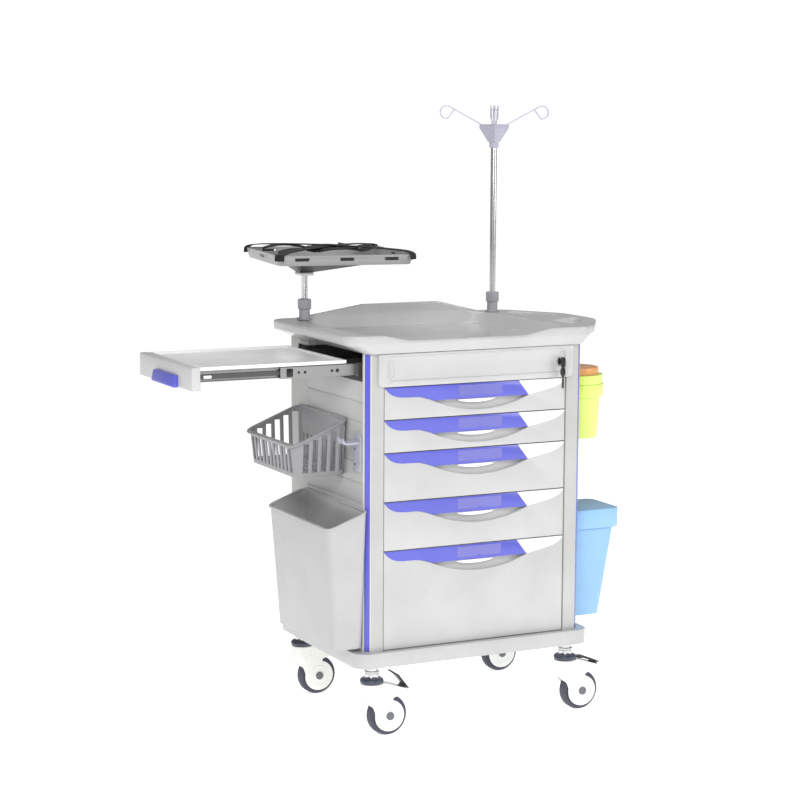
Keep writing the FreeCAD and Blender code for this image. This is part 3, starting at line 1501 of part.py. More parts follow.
# ---- the whole cart ----------------------------------------------------------------------------
def all_parts():
    """Every node's solids by node name, about the cabinet's centre on the floor."""
    parts = {
        "base_platform": [base_platform()],
        "caster_stems": caster_stems(),
        "corner_columns": corner_columns(),
        "column_trim_strips": column_trim_strips(),
        "left_side_panel": [mirrored_x(grooved_panel(BODY_TOP - SHELF_OPENING_H))],
        "right_side_panel": [grooved_panel(BODY_TOP)],
        "back_panel": [back_panel()],
        "drawer_frame": [drawer_frame()],
        "slide_channels": slide_channels(),
        "front_fascia": [front_fascia()],
        "lock_cylinder": [lock_cylinder()],
        "lock_key": lock_key(),
        "worktop": [worktop()],
        "pole_sockets": [pole_socket(IV_X, IV_POLE_R), pole_socket(POST_X, POST_R)],
        "iv_pole": [upright(IV_POLE_R, IV_X, POLE_Y, IV_POLE_TOP - IV_POLE_LENGTH, IV_POLE_TOP)],
        "iv_knob": [knob(IV_X, IV_POLE_R)],
        "iv_head": [iv_head()],
        "iv_hooks": iv_hooks(),
        "platform_post": [platform_post()],
        "platform_knob": [knob(POST_X, POST_R)],
        "platform_tray": [platform_tray()],
        "platform_straps": [platform_straps()],
        "shelf_tray": [shelf_tray()],
        "shelf_front": [shelf_front()],
        "shelf_handle": [shelf_handle()],
        "shelf_runners": shelf_runners(),
        "shelf_mid_rails": shelf_mid_rails(),
        "basket": [basket()],
        "waste_bin": [waste_bin()],
        "double_hook": [double_hook()],
        "sharps_holder": [sharps_holder()],
        "sharps_container": [sharps_container()],
        "sharps_lid": [sharps_lid()],
        "lidded_bin": [lidded_bin()],
        "bin_lid": [bin_lid()],
    }
    for corner, (x, y) in caster_places().items():
        braked = corner.startswith("front")
        parts["caster_housing_" + corner] = [caster_housing(x, y, braked)]
        parts["caster_wheel_" + corner] = caster_wheel(x, y)
        if braked:
            parts["brake_pedal_" + corner] = [brake_pedal(x, y, corner == "front_left")]
    for index in range(len(DRAWER_PITCHES)):
        name = "drawer_" + str(index + 1)
        parts[name + "_front"] = [drawer_front(index)]
        parts[name + "_accent"] = [drawer_accent(index)]
        parts[name + "_tub"] = [drawer_tub(index)]
    return parts


def origin_shift(parts):
    """Move that brings the bottom centre of the whole cart's box to the origin."""
    box = FreeCAD.BoundBox()
    for solids in parts.values():
        for solid in solids:
            box.add(solid.optimalBoundingBox(False, False))
    return vec(-(box.XMin + box.XMax) / 2, -(box.YMin + box.YMax) / 2, -box.ZMin)


def main():
    """Builds every node and writes it as a STEP file."""
    os.makedirs("parts", exist_ok=True)
    parts = all_parts()
    shift = origin_shift(parts)
    for name, solids in parts.items():
        shape = Part.makeCompound(solids) if len(solids) > 1 else solids[0]
        shape.translate(shift)
        shape.exportStep(os.path.join("parts", name + ".step"))
    print("nodes", len(parts), "shift", tuple(round(value, 3) for value in shift))


if __name__ == "__main__":
    main()
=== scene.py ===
"""Hospital crash cart: drawer cabinet on casters, tray worktop, side shelf, swivel platform and bins.

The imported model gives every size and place. Pieces here either take a node's own mesh and soften its
edges, or are modelled new where the real moulding has more shape than its solid.
"""

from __future__ import annotations

import bpy
import bmesh
import json
import logging
import math
from dataclasses import dataclass
from enum import Enum
from mathutils import Matrix, Vector


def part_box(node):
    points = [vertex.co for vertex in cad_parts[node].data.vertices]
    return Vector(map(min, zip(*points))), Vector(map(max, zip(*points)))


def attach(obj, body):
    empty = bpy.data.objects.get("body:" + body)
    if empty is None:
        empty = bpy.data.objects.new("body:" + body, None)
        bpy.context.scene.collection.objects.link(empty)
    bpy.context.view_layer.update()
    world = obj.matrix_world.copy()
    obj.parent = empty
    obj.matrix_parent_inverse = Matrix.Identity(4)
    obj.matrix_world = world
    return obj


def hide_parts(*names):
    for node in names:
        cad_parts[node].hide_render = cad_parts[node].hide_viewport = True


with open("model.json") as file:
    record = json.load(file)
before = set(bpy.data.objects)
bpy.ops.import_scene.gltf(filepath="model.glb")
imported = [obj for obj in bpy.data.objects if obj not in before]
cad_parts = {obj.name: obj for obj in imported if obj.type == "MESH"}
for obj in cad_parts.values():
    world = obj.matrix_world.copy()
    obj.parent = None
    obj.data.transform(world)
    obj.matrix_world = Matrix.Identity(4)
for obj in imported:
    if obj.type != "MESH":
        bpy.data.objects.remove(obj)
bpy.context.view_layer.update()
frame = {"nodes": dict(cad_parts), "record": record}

log = logging.getLogger("crash_cart")

MM = 0.001
WHITE_LIGHT = (1.0, 1.0, 1.0, 1.0)


# ---- finishes ----------------------------------------------------------------------------------
class Surface(Enum):
    """How a finish breaks up its light."""

    MOULDED = "moulded"
    BRUSHED = "brushed"
    WOVEN = "woven"
    RUBBER = "rubber"


def linear(colour: tuple[float, float, float]) -> tuple[float, float, float, float]:
    """Turns a display colour into the renderer's linear one.

    Args:
        colour: red, green and blue from 0 to 1 as a screen shows them.

    Returns:
        The linear colour with full alpha.
    """
    channels = [c / 12.92 if c <= 0.04045 else ((c + 0.055) / 1.055) ** 2.4 for c in colour]
    return (channels[0], channels[1], channels[2], 1.0)


class Groups:
    """Shader node groups that several finishes share, each built once."""

    made: dict[str, bpy.types.NodeTree] = {}

    @classmethod
    def start(
        cls, name: str, inputs: dict[str, float], outputs: dict[str, str]
    ) -> tuple[bpy.types.NodeTree, bpy.types.Node, bpy.types.Node]:
        """Opens a new group with its sockets.

        Args:
            name: the group's name.
            inputs: number inputs and their defaults.
            outputs: outputs and their socket types.

        Returns:
            The tree, its input node and its output node.
        """
        tree = bpy.data.node_groups.new(name, "ShaderNodeTree")
        tree.interface.new_socket("Place", in_out="INPUT", socket_type="NodeSocketVector")
        for label, value in inputs.items():
            socket = tree.interface.new_socket(label, in_out="INPUT", socket_type="NodeSocketFloat")
            socket.default_value = value
        for label, kind in outputs.items():
            tree.interface.new_socket(label, in_out="OUTPUT", socket_type=kind)
        cls.made[name] = tree
        return tree, tree.nodes.new("NodeGroupInput"), tree.nodes.new("NodeGroupOutput")

    @classmethod
    def noise(
        cls,
        tree: bpy.types.NodeTree,
        place: bpy.types.NodeSocket,
        scale: bpy.types.NodeSocket | float,
        detail: float,
    ) -> bpy.types.NodeSocket:
        """Adds a noise texture.

        Args:
            tree: the tree it goes into.
            place: the coordinates it reads.
            scale: its scale, linked or plain.
            detail: its octaves.

        Returns:
            The noise's value.
        """
        node = tree.nodes.new("ShaderNodeTexNoise")
        node.inputs["Detail"].default_value = detail
        tree.links.new(place, node.inputs["Vector"])
        if isinstance(scale, float):
            node.inputs["Scale"].default_value = scale
        else:
            tree.links.new(scale, node.inputs["Scale"])
        return node.outputs["Fac"]

    @staticmethod
    def sum_of(
        tree: bpy.types.NodeTree, operation: str, *values: bpy.types.NodeSocket | float, clamp: bool = False
    ) -> bpy.types.NodeSocket:
        """Adds a math node.

        Args:
            tree: the tree it goes into.
            operation: what it does.
            *values: its inputs in order, linked or plain.
            clamp: whether its result stays between 0 and 1.

        Returns:
            The result.
        """
        node = tree.nodes.new("ShaderNodeMath")
        node.operation = operation
        node.use_clamp = clamp
        for socket, value in zip(node.inputs, values):
            if isinstance(value, float):
                socket.default_value = value
            else:
                tree.links.new(value, socket)
        return node.outputs[0]

    @classmethod
    def mottle(cls) -> bpy.types.NodeTree:
        """The slow drift of tone over a moulding or a sprayed sheet, as a multiplier colour.

        Returns:
            The group's tree.
        """
        if "Mottle" in cls.made:
            return cls.made["Mottle"]
        inputs = {"Scale": 9.0, "Amount": 0.03}
        tree, source, sink = cls.start("Mottle", inputs, {"Shade": "NodeSocketFloat"})
        broad = cls.noise(tree, source.outputs["Place"], source.outputs["Scale"], 3.0)
        fine = cls.noise(tree, source.outputs["Place"], 420.0, 2.0)
        fine_share = 0.35
        blend = cls.sum_of(tree, "MULTIPLY_ADD", fine, fine_share, broad)
        centre = cls.sum_of(tree, "SUBTRACT", blend, (1.0 + fine_share) / 2)
        shade = cls.sum_of(tree, "MULTIPLY_ADD", centre, source.outputs["Amount"], 1.0)
        tree.links.new(shade, sink.inputs["Shade"])
        return tree

    @classmethod
    def grain(cls) -> bpy.types.NodeTree:
        """Fine pebbled mould texture over a slight waviness, as a height.

        Returns:
            The group's tree.
        """
        if "MouldGrain" in cls.made:
            return cls.made["MouldGrain"]
        tree, source, sink = cls.start(
            "MouldGrain", {"Scale": 1400.0, "Waviness": 0.5}, {"Height": "NodeSocketFloat"}
        )
        pebble = cls.noise(tree, source.outputs["Place"], source.outputs["Scale"], 1.0)
        wave = cls.noise(tree, source.outputs["Place"], 14.0, 1.0)
        height = cls.sum_of(tree, "MULTIPLY_ADD", wave, source.outputs["Waviness"], pebble)
        tree.links.new(height, sink.inputs["Height"])
        return tree

    @classmethod
    def scuffs(cls) -> bpy.types.NodeTree:
        """Handling marks and wiped streaks, as a roughness that wanders about its base value.

        Returns:
            The group's tree.
        """
        if "Scuffs" in cls.made:
            return cls.made["Scuffs"]
        inputs = {"Base": 0.35, "Spread": 0.08}
        tree, source, sink = cls.start("Scuffs", inputs, {"Roughness": "NodeSocketFloat"})
        cloud = cls.noise(tree, source.outputs["Place"], 11.0, 5.0)
        stretch = tree.nodes.new("ShaderNodeMapping")
        stretch.inputs["Scale"].default_value = (4.0, 60.0, 60.0)
        tree.links.new(source.outputs["Place"], stretch.inputs["Vector"])
        streak = cls.noise(tree, stretch.outputs["Vector"], 3.0, 3.0)
        both = cls.sum_of(tree, "ADD", cloud, streak)
        centre = cls.sum_of(tree, "SUBTRACT", both, 1.0)
        spread, base = source.outputs["Spread"], source.outputs["Base"]
        out = cls.sum_of(tree, "MULTIPLY_ADD", centre, spread, base, clamp=True)
        tree.links.new(out, sink.inputs["Roughness"])
        return tree

    @classmethod
    def brush(cls) -> bpy.types.NodeTree:
        """Drawn lines of rolled or polished metal, as a height.

        Returns:
            The group's tree.
        """
        if "BrushLines" in cls.made:
            return cls.made["BrushLines"]
        tree, source, sink = cls.start("BrushLines", {"Scale": 30.0}, {"Height": "NodeSocketFloat"})
        stretch = tree.nodes.new("ShaderNodeMapping")
        stretch.inputs["Scale"].default_value = (50.0, 50.0, 1.0)
        tree.links.new(source.outputs["Place"], stretch.inputs["Vector"])
        lines = cls.noise(tree, stretch.outputs["Vector"], source.outputs["Scale"], 4.0)
        tree.links.new(lines, sink.inputs["Height"])
        return tree

    @classmethod
    def weave(cls) -> bpy.types.NodeTree:
        """Crossing threads of flat webbing, read from the strap's own UV map.

        Returns:
            The group's tree.
        """
        if "Weave" in cls.made:
            return cls.made["Weave"]
        tree, source, sink = cls.start("Weave", {"Threads": 40.0}, {"Height": "NodeSocketFloat"})
        heights = []
        for turn in (0.0, math.pi / 2):
            aim = tree.nodes.new("ShaderNodeMapping")
            aim.inputs["Rotation"].default_value = (0.0, 0.0, turn)
            tree.links.new(source.outputs["Place"], aim.inputs["Vector"])
            wave = tree.nodes.new("ShaderNodeTexWave")
            wave.inputs["Distortion"].default_value = 0.4
            tree.links.new(aim.outputs["Vector"], wave.inputs["Vector"])
            tree.links.new(source.outputs["Threads"], wave.inputs["Scale"])
            heights.append(wave.outputs["Fac"])
        tree.links.new(cls.sum_of(tree, "MULTIPLY", *heights), sink.inputs["Height"])
        return tree


@dataclass(frozen=True)
class Finish:
    """One material: its colour, gloss and the texture of its surface."""

    name: str
    colour: tuple[float, float, float]
    roughness: float = 0.35
    surface: Surface = Surface.MOULDED
    metallic: float = 0.0
    coat: float = 0.0
    relief: float = 0.00002
    grain: float = 1400.0
    tone: float = 0.04
    spread: float = 0.06

    @staticmethod
    def place_group(
        material: bpy.types.Material, tree: bpy.types.NodeTree, place: bpy.types.NodeSocket, **values: float
    ) -> bpy.types.Node:
        """Puts a shared group into the material.

        Args:
            material: the material being built.
            tree: the shared group.
            place: the coordinates it reads.
            **values: its other inputs by name.

        Returns:
            The group node.
        """
        node = material.node_tree.nodes.new("ShaderNodeGroup")
        node.node_tree = tree
        material.node_tree.links.new(place, node.inputs["Place"])
        for label, value in values.items():
            node.inputs[label].default_value = value
        return node

    def material(self) -> bpy.types.Material:
        """Builds the material, or returns it if it is there already.

        Returns:
            The finished material.
        """
        label = "finish_" + self.name
        known = bpy.data.materials.get(label)
        if known:
            return known
        material = bpy.data.materials.new(label)
        material.use_nodes = True
        nodes = material.node_tree.nodes
        links = material.node_tree.links
        shader = nodes["Principled BSDF"]
        coordinates = nodes.new("ShaderNodeTexCoord")
        source = coordinates.outputs["UV" if self.surface is Surface.WOVEN else "Object"]
        shader.inputs["Metallic"].default_value = self.metallic
        shader.inputs["Coat Weight"].default_value = self.coat
        shader.inputs["Coat Roughness"].default_value = 0.08
        if self.surface is Surface.WOVEN:
            shader.inputs["Sheen Weight"].default_value = 0.04
        place = coordinates.outputs["Object"]
        mottle = self.place_group(material, Groups.mottle(), place, Amount=self.tone * 6)
        tint = nodes.new("ShaderNodeMix")
        tint.data_type = "RGBA"
        tint.blend_type = "MULTIPLY"
        tint.inputs["Factor"].default_value = 1.0
        tint.inputs["A"].default_value = linear(self.colour)
        links.new(mottle.outputs["Shade"], tint.inputs["B"])
        links.new(tint.outputs["Result"], shader.inputs["Base Color"])
        scuffs = self.place_group(material, Groups.scuffs(), place, Base=self.roughness, Spread=self.spread)
        links.new(scuffs.outputs["Roughness"], shader.inputs["Roughness"])
        if self.surface is Surface.BRUSHED:
            texture = self.place_group(material, Groups.brush(), source, Scale=self.grain)
        elif self.surface is Surface.WOVEN:
            texture = self.place_group(material, Groups.weave(), source, Threads=self.grain)
        else:
            texture = self.place_group(material, Groups.grain(), source, Scale=self.grain)
        bump = nodes.new("ShaderNodeBump")
        bump.inputs["Distance"].default_value = self.relief
        bump.inputs["Strength"].default_value = 1.0
        links.new(texture.outputs["Height"], bump.inputs["Height"])
        links.new(bump.outputs["Normal"], shader.inputs["Normal"])
        return material


SHELL = Finish("shell_plastic", (0.75, 0.75, 0.75), roughness=0.24, coat=0.5)
DRAWER = Finish("drawer_plastic", (0.77, 0.77, 0.77), roughness=0.34, coat=0.15)
PANEL = Finish("panel_paint", (0.70, 0.70, 0.70), roughness=0.42, relief=0.00003, grain=700.0)
COLUMN = Finish("column_paint", (0.74, 0.74, 0.73), roughness=0.38, relief=0.00002, grain=900.0)
IVORY = Finish("ivory_trim", (0.84, 0.83, 0.77), roughness=0.35)
WHITE = Finish("white_plastic", (0.95, 0.95, 0.95), roughness=0.24, coat=0.3)
BLUE = Finish("accent_blue", (0.355, 0.37, 0.775), roughness=0.30, coat=0.25)
CASTER = Finish("caster_nylon", (0.97, 0.97, 0.95), roughness=0.30, coat=0.2)
TYRE = Finish(
    "tyre_rubber", (0.27, 0.28, 0.33), roughness=0.55,
    surface=Surface.RUBBER, relief=0.00005, grain=900.0,
)
COLLAR = Finish("collar_plastic", (0.24, 0.26, 0.32), roughness=0.38, coat=0.2)
BLACK = Finish("black_plastic", (0.07, 0.07, 0.08), roughness=0.30, coat=0.2)
STEEL = Finish(
    "steel", (0.80, 0.80, 0.80), roughness=0.22,
    surface=Surface.BRUSHED, metallic=1.0, grain=12.0,
)
ZINC = Finish(
    "zinc_plate", (0.66, 0.66, 0.66), roughness=0.34,
    surface=Surface.BRUSHED, metallic=1.0, grain=16.0,
)
KNOB = Finish("knob_plastic", (0.62, 0.62, 0.64), roughness=0.40)
LILAC = Finish("lilac_plastic", (0.68, 0.68, 0.74), roughness=0.30, coat=0.2)
WIRE = Finish("pale_wire", (0.74, 0.73, 0.80), roughness=0.25, coat=0.3)
WEBBING = Finish(
    "webbing", (0.05, 0.05, 0.055), roughness=0.75,
    surface=Surface.WOVEN, relief=0.0004, grain=60.0,
)
PLATFORM = Finish("platform_plastic", (0.62, 0.62, 0.62), roughness=0.38, coat=0.1)
BASKET = Finish("basket_plastic", (0.58, 0.58, 0.59), roughness=0.36, coat=0.1)
BIN = Finish("bin_plastic", (0.73, 0.73, 0.73), roughness=0.33, coat=0.15)
LEMON = Finish("lemon_plastic", (0.88, 0.96, 0.50), roughness=0.30, coat=0.2)
ORANGE = Finish("orange_plastic", (0.92, 0.66, 0.40), roughness=0.34, coat=0.15)
SKY = Finish("sky_plastic", (0.58, 0.76, 0.93), roughness=0.30, coat=0.2)
TUB = Finish("tub_plastic", (0.84, 0.84, 0.84), roughness=0.40)
LABEL = Finish("label_window", (0.43, 0.43, 0.75), roughness=0.12, coat=0.6)
LABEL_EDGE = Finish("label_edge", (0.60, 0.60, 0.86), roughness=0.2, coat=0.5)
# Dark grey for the underside faces of the platform tray: painted shade under the tray.
UNDERSIDE_SHADE = Finish("underside_painted_shade", (0.16, 0.16, 0.17), roughness=0.45, relief=0.00003, grain=700.0)
AXLE = Finish("axle_cap", (0.42, 0.43, 0.45), roughness=0.4)
# Dark grey for strips inside the shelf slides: painted shade in the slide channels.
SLIDE_CHANNEL_SHADE = Finish("slide_channel_shade", (0.30, 0.30, 0.30), roughness=0.5)
FLOOR = Finish("floor_paint", (1.0, 1.0, 1.0), roughness=0.6, tone=0.002, relief=0.00001)


# ---- the workbench -----------------------------------------------------------------------------
class Bench:
    """Modelling steps that every sub-assembly uses."""

    @staticmethod
    def clear() -> None:
        """Leaves edit mode and deselects everything."""
        if bpy.context.object and bpy.context.object.mode != "OBJECT":
            bpy.ops.object.mode_set(mode="OBJECT")
        bpy.ops.object.select_all(action="DESELECT")

    @staticmethod
    def pick(piece: bpy.types.Object) -> None:
        """Selects one object alone and makes it active."""
        Bench.clear()
        piece.select_set(True)
        bpy.context.view_layer.objects.active = piece

    @staticmethod
    def settle(piece: bpy.types.Object) -> None:
        """Puts the piece's place, turn and scale into its mesh."""
        Bench.pick(piece)
        bpy.ops.object.transform_apply(location=True, rotation=True, scale=True)

    @staticmethod
    def modify(piece: bpy.types.Object, kind: str, **settings: object) -> None:
        """Adds a modifier, sets it up and applies it.

        Args:
            piece: the object it works on.
            kind: the modifier's type.
            **settings: its settings by name.
        """
        Bench.pick(piece)
        modifier = piece.modifiers.new(kind.lower(), kind)
        for label, value in settings.items():
            setattr(modifier, label, value)
        bpy.ops.object.modifier_apply(modifier=modifier.name)

    @staticmethod
    def soften(piece: bpy.types.Object, width: float, segments: int = 3, angle: float = 32.0) -> None:
        """Rounds the piece's sharp edges and shades it by angle.

        Args:
            piece: the object.
            width: the round's width in metres.
            segments: steps in the round.
            angle: edges sharper than this many degrees are rounded.
        """
        if width > 0:
            Bench.modify(
                piece,
                "BEVEL",
                width=width,
                segments=segments,
                limit_method="ANGLE",
                angle_limit=math.radians(angle),
                miter_outer="MITER_ARC",
            )
        Bench.pick(piece)
        bpy.ops.object.shade_smooth_by_angle(angle=math.radians(angle + 3))

    @staticmethod
    def from_node(node: str, name: str, flat: float = 0.6) -> bpy.types.Object:
        """Takes a copy of a node's mesh, joined up and with its flat areas made single faces.

        Args:
            node: the node that is copied.
            name: the new piece's name.
            flat: faces that meet at less than this many degrees become one.

        Returns:
            The new object.
        """
        Bench.pick(frame["nodes"][node])
        bpy.ops.object.duplicate()
        piece = bpy.context.object
        piece.name = name
        piece.parent = None
        for key in list(piece.keys()):
            del piece[key]
        bpy.ops.object.mode_set(mode="EDIT")
        bpy.ops.mesh.select_all(action="SELECT")
        bpy.ops.mesh.remove_doubles(threshold=0.000005)
        bpy.ops.mesh.dissolve_limited(angle_limit=math.radians(flat))
        bpy.ops.object.mode_set(mode="OBJECT")
        piece.data.materials.clear()
        return piece

    @staticmethod
    def dress(piece: bpy.types.Object, finish: Finish, node: str) -> bpy.types.Object:
        """Gives a finished piece its material and the body of a node.

        Args:
            piece: the finished object.
            finish: its finish.
            node: the node that it belongs with.

        Returns:
            The same object.
        """
        body = body_of(node)
        piece.data.materials.clear()
        piece.data.materials.append(finish.material())
        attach(piece, body)
        log.info("piece %s on %s: %d faces", piece.name, body, len(piece.data.polygons))
        return piece

    @staticmethod
    def paint(node: str, finish: Finish) -> None:
        """Gives a node that keeps its own mesh a finish."""
        materials = frame["nodes"][node].data.materials
        materials.clear()
        materials.append(finish.material())
        log.info("node %s: %s", node, finish.name)

    @staticmethod
    def remake(node: str, finish: Finish, width: float) -> bpy.types.Object:
        """Replaces a node with its own shape, edges rounded.

        Args:
            node: the node that is replaced.
            finish: the piece's finish.
            width: the edges' round in metres.

        Returns:
            The new piece, already riding on the node's body.
        """
        piece = Bench.from_node(node, node + "_soft")
        Bench.soften(piece, width)
        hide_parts(node)
        return Bench.dress(piece, finish, node)


def body_of(node: str) -> str:
    """The body that holds a node.

    Args:
        node: the node's name.

    Returns:
        The body's name.
    """
    groups = frame["record"]["behaviour"]["bodies"]
    return next(name for name, members in groups.items() if node in members)


def corners(node: str) -> tuple[Vector, Vector]:
    """Lowest and highest corner of a node at rest.

    Args:
        node: the node's name.

    Returns:
        The two corners.
    """
    low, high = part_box(node)
    return Vector(low), Vector(high)


# ---- sub-assemblies ----------------------------------------------------------------------------
NODE_FINISH = {
    "base_platform": (SHELL, 0.0025), "corner_columns": (COLUMN, 0.0008),
    "column_trim_strips": (BLUE, 0.0003), "left_side_panel": (PANEL, 0.0005),
    "right_side_panel": (PANEL, 0.0005), "back_panel": (PANEL, 0.0005), "drawer_frame": (PANEL, 0.0),
    "slide_channels": (ZINC, 0.0), "lock_cylinder": (STEEL, 0.0006),
    "lock_key": (BLACK, 0.0008), "pole_sockets": (KNOB, 0.0012), "iv_pole": (STEEL, 0.0004),
    "iv_head": (LILAC, 0.002), "iv_hooks": (WIRE, 0.0), "platform_post": (STEEL, 0.0006),
    "shelf_tray": (WHITE, 0.0012), "shelf_front": (DRAWER, 0.003), "shelf_handle": (BLUE, 0.002),
    "shelf_runners": (ZINC, 0.0), "shelf_mid_rails": (ZINC, 0.0), "sharps_holder": (LEMON, 0.0015),
    "sharps_container": (LEMON, 0.0015), "sharps_lid": (ORANGE, 0.0015), "lidded_bin": (SKY, 0.001),
    "bin_lid": (SKY, 0.002),
}


CASTER_PLACES = (
    ("front_left", -272.0, -209.0), ("front_right", 272.0, -209.0),
    ("rear_left", -272.0, 209.0), ("rear_right", 272.0, 209.0),
)


def origin() -> Vector:
    """The floor point under the middle of the cabinet."""
    low, high = corners("base_platform")
    return Vector(((low.x + high.x) / 2, (low.y + high.y) / 2, 0.0))


def at(x: float, y: float, z: float) -> Vector:
    """A point given in millimetres from the floor point under the cabinet's middle."""
    return origin() + Vector((x, y, z)) * MM


class Maker(Bench):
    """Ways of starting a new piece."""

    @staticmethod
    def ring(name: str, places: list[Vector], fill: str = "NOTHING") -> bpy.types.Object:
        """Draws a closed ring through points.

        Args:
            name: the piece's name.
            places: the points in order.
            fill: how the ring is filled.

        Returns:
            The new object.
        """
        Bench.clear()
        bpy.ops.mesh.primitive_circle_add(vertices=len(places), radius=0.01, fill_type=fill)
        piece = bpy.context.object
        piece.name = name
        for vertex, place in zip(piece.data.vertices, places):
            vertex.co = place
        return piece

    @staticmethod
    def open_ring(piece: bpy.types.Object) -> None:
        """Takes out the edge between a ring's last and first points, and stays in edit mode."""
        last = len(piece.data.vertices) - 1
        bpy.ops.object.mode_set(mode="EDIT")
        mesh = bmesh.from_edit_mesh(piece.data)
        for edge in mesh.edges:
            edge.select = {v.index for v in edge.verts} == {0, last}
        bmesh.update_edit_mesh(piece.data)
        bpy.ops.mesh.delete(type="EDGE_FACE")

    @staticmethod
    def prism(name: str, outline: list[Vector], depth: Vector) -> bpy.types.Object:
        """Draws a closed outline and extrudes it.

        Args:
            name: the piece's name.
            outline: the outline's corners in order.
            depth: how far and which way it is extruded.

        Returns:
            The new object.
        """
        piece = Maker.ring(name, outline, "NGON")
        bpy.ops.object.mode_set(mode="EDIT")
        bpy.ops.mesh.select_all(action="SELECT")
        bpy.ops.mesh.extrude_region_move(TRANSFORM_OT_translate={"value": depth})
        bpy.ops.mesh.select_all(action="SELECT")
        bpy.ops.mesh.normals_make_consistent(inside=False)
        bpy.ops.object.mode_set(mode="OBJECT")
        return piece

    @staticmethod
    def loop_tube(name: str, path: list[Vector], radius: float) -> bpy.types.Object:
        """Runs a round bar along a closed path.

        Args:
            name: the piece's name.
            path: the points of its centre line.
            radius: the bar's radius in metres.

        Returns:
            The new object.
        """
        piece = Maker.ring(name, path)
        Bench.pick(piece)
        bpy.ops.object.convert(target="CURVE")
        piece = bpy.context.object
        piece.data.bevel_depth = radius
        piece.data.bevel_resolution = 3
        piece.data.use_fill_caps = False
        bpy.ops.object.convert(target="MESH")
        piece = bpy.context.object
        Bench.settle(piece)
        bpy.ops.object.mode_set(mode="EDIT")
        bpy.ops.mesh.select_all(action="SELECT")
        bpy.ops.mesh.remove_doubles(threshold=0.00001)
        bpy.ops.mesh.normals_make_consistent(inside=False)
        bpy.ops.object.mode_set(mode="OBJECT")
        bpy.ops.object.shade_smooth_by_angle(angle=math.radians(50))
        return piece

    @staticmethod
    def turned(name: str, axis: Vector, profile: list[tuple[float, float]]) -> bpy.types.Object:
        """Spins a profile about an upright axis.

        Args:
            name: the piece's name.
            axis: the axis's foot.
            profile: radius and height pairs in millimetres above the foot, from the bottom up.

        Returns:
            The new object.
        """
        piece = Maker.ring(name, [axis + Vector((radius, 0.0, height)) * MM for radius, height in profile])
        Maker.open_ring(piece)
        bpy.ops.mesh.select_all(action="SELECT")
        bpy.ops.mesh.spin(steps=48, angle=math.tau, center=axis, axis=(0, 0, 1), use_auto_merge=False)
        bpy.ops.mesh.select_all(action="SELECT")
        bpy.ops.mesh.remove_doubles(threshold=0.00002)
        bpy.ops.mesh.normals_make_consistent(inside=False)
        bpy.ops.object.mode_set(mode="OBJECT")
        bpy.ops.object.shade_smooth_by_angle(angle=math.radians(40))
        return piece

    @staticmethod
    def block(name: str, low: Vector, high: Vector) -> bpy.types.Object:
        """Adds a box between two corners, as a start or as a cutter.

        Args:
            name: the object's name.
            low: its lowest corner.
            high: its highest corner.

        Returns:
            The new object.
        """
        Bench.clear()
        bpy.ops.mesh.primitive_cube_add(size=1.0, location=(low + high) / 2)
        piece = bpy.context.object
        piece.name = name
        piece.scale = high - low
        Bench.settle(piece)
        return piece

    @staticmethod
    def join(pieces: list[bpy.types.Object]) -> bpy.types.Object:
        """Makes one object of several and returns it."""
        Bench.clear()
        for piece in pieces:
            piece.select_set(True)
        bpy.context.view_layer.objects.active = pieces[0]
        bpy.ops.object.join()
        return bpy.context.object

    @staticmethod
    def cut(piece: bpy.types.Object, cutters: list[bpy.types.Object]) -> None:
        """Cuts shapes out of a piece and removes them.

        Args:
            piece: the piece that is cut.
            cutters: the shapes that are taken out of it, clear of one another.
        """
        tool = Maker.join(cutters)
        Bench.modify(piece, "BOOLEAN", operation="DIFFERENCE", solver="EXACT", object=tool)
        Bench.pick(tool)
        bpy.ops.object.delete()

    @staticmethod
    def mould(node: str, name: str, voxel: float, passes: int) -> bpy.types.Object:
        """Takes a node's shape as one flowing moulding with every edge rounded.

        Args:
            node: the node.
            name: the piece's name.
            voxel: the fineness in metres.
            passes: how many times it is smoothed.

        Returns:
            The new object.
        """
        piece = Bench.from_node(node, name)
        Bench.modify(piece, "REMESH", mode="VOXEL", voxel_size=voxel, use_smooth_shade=True)
        Bench.modify(piece, "SMOOTH", factor=0.5, iterations=passes)
        return piece


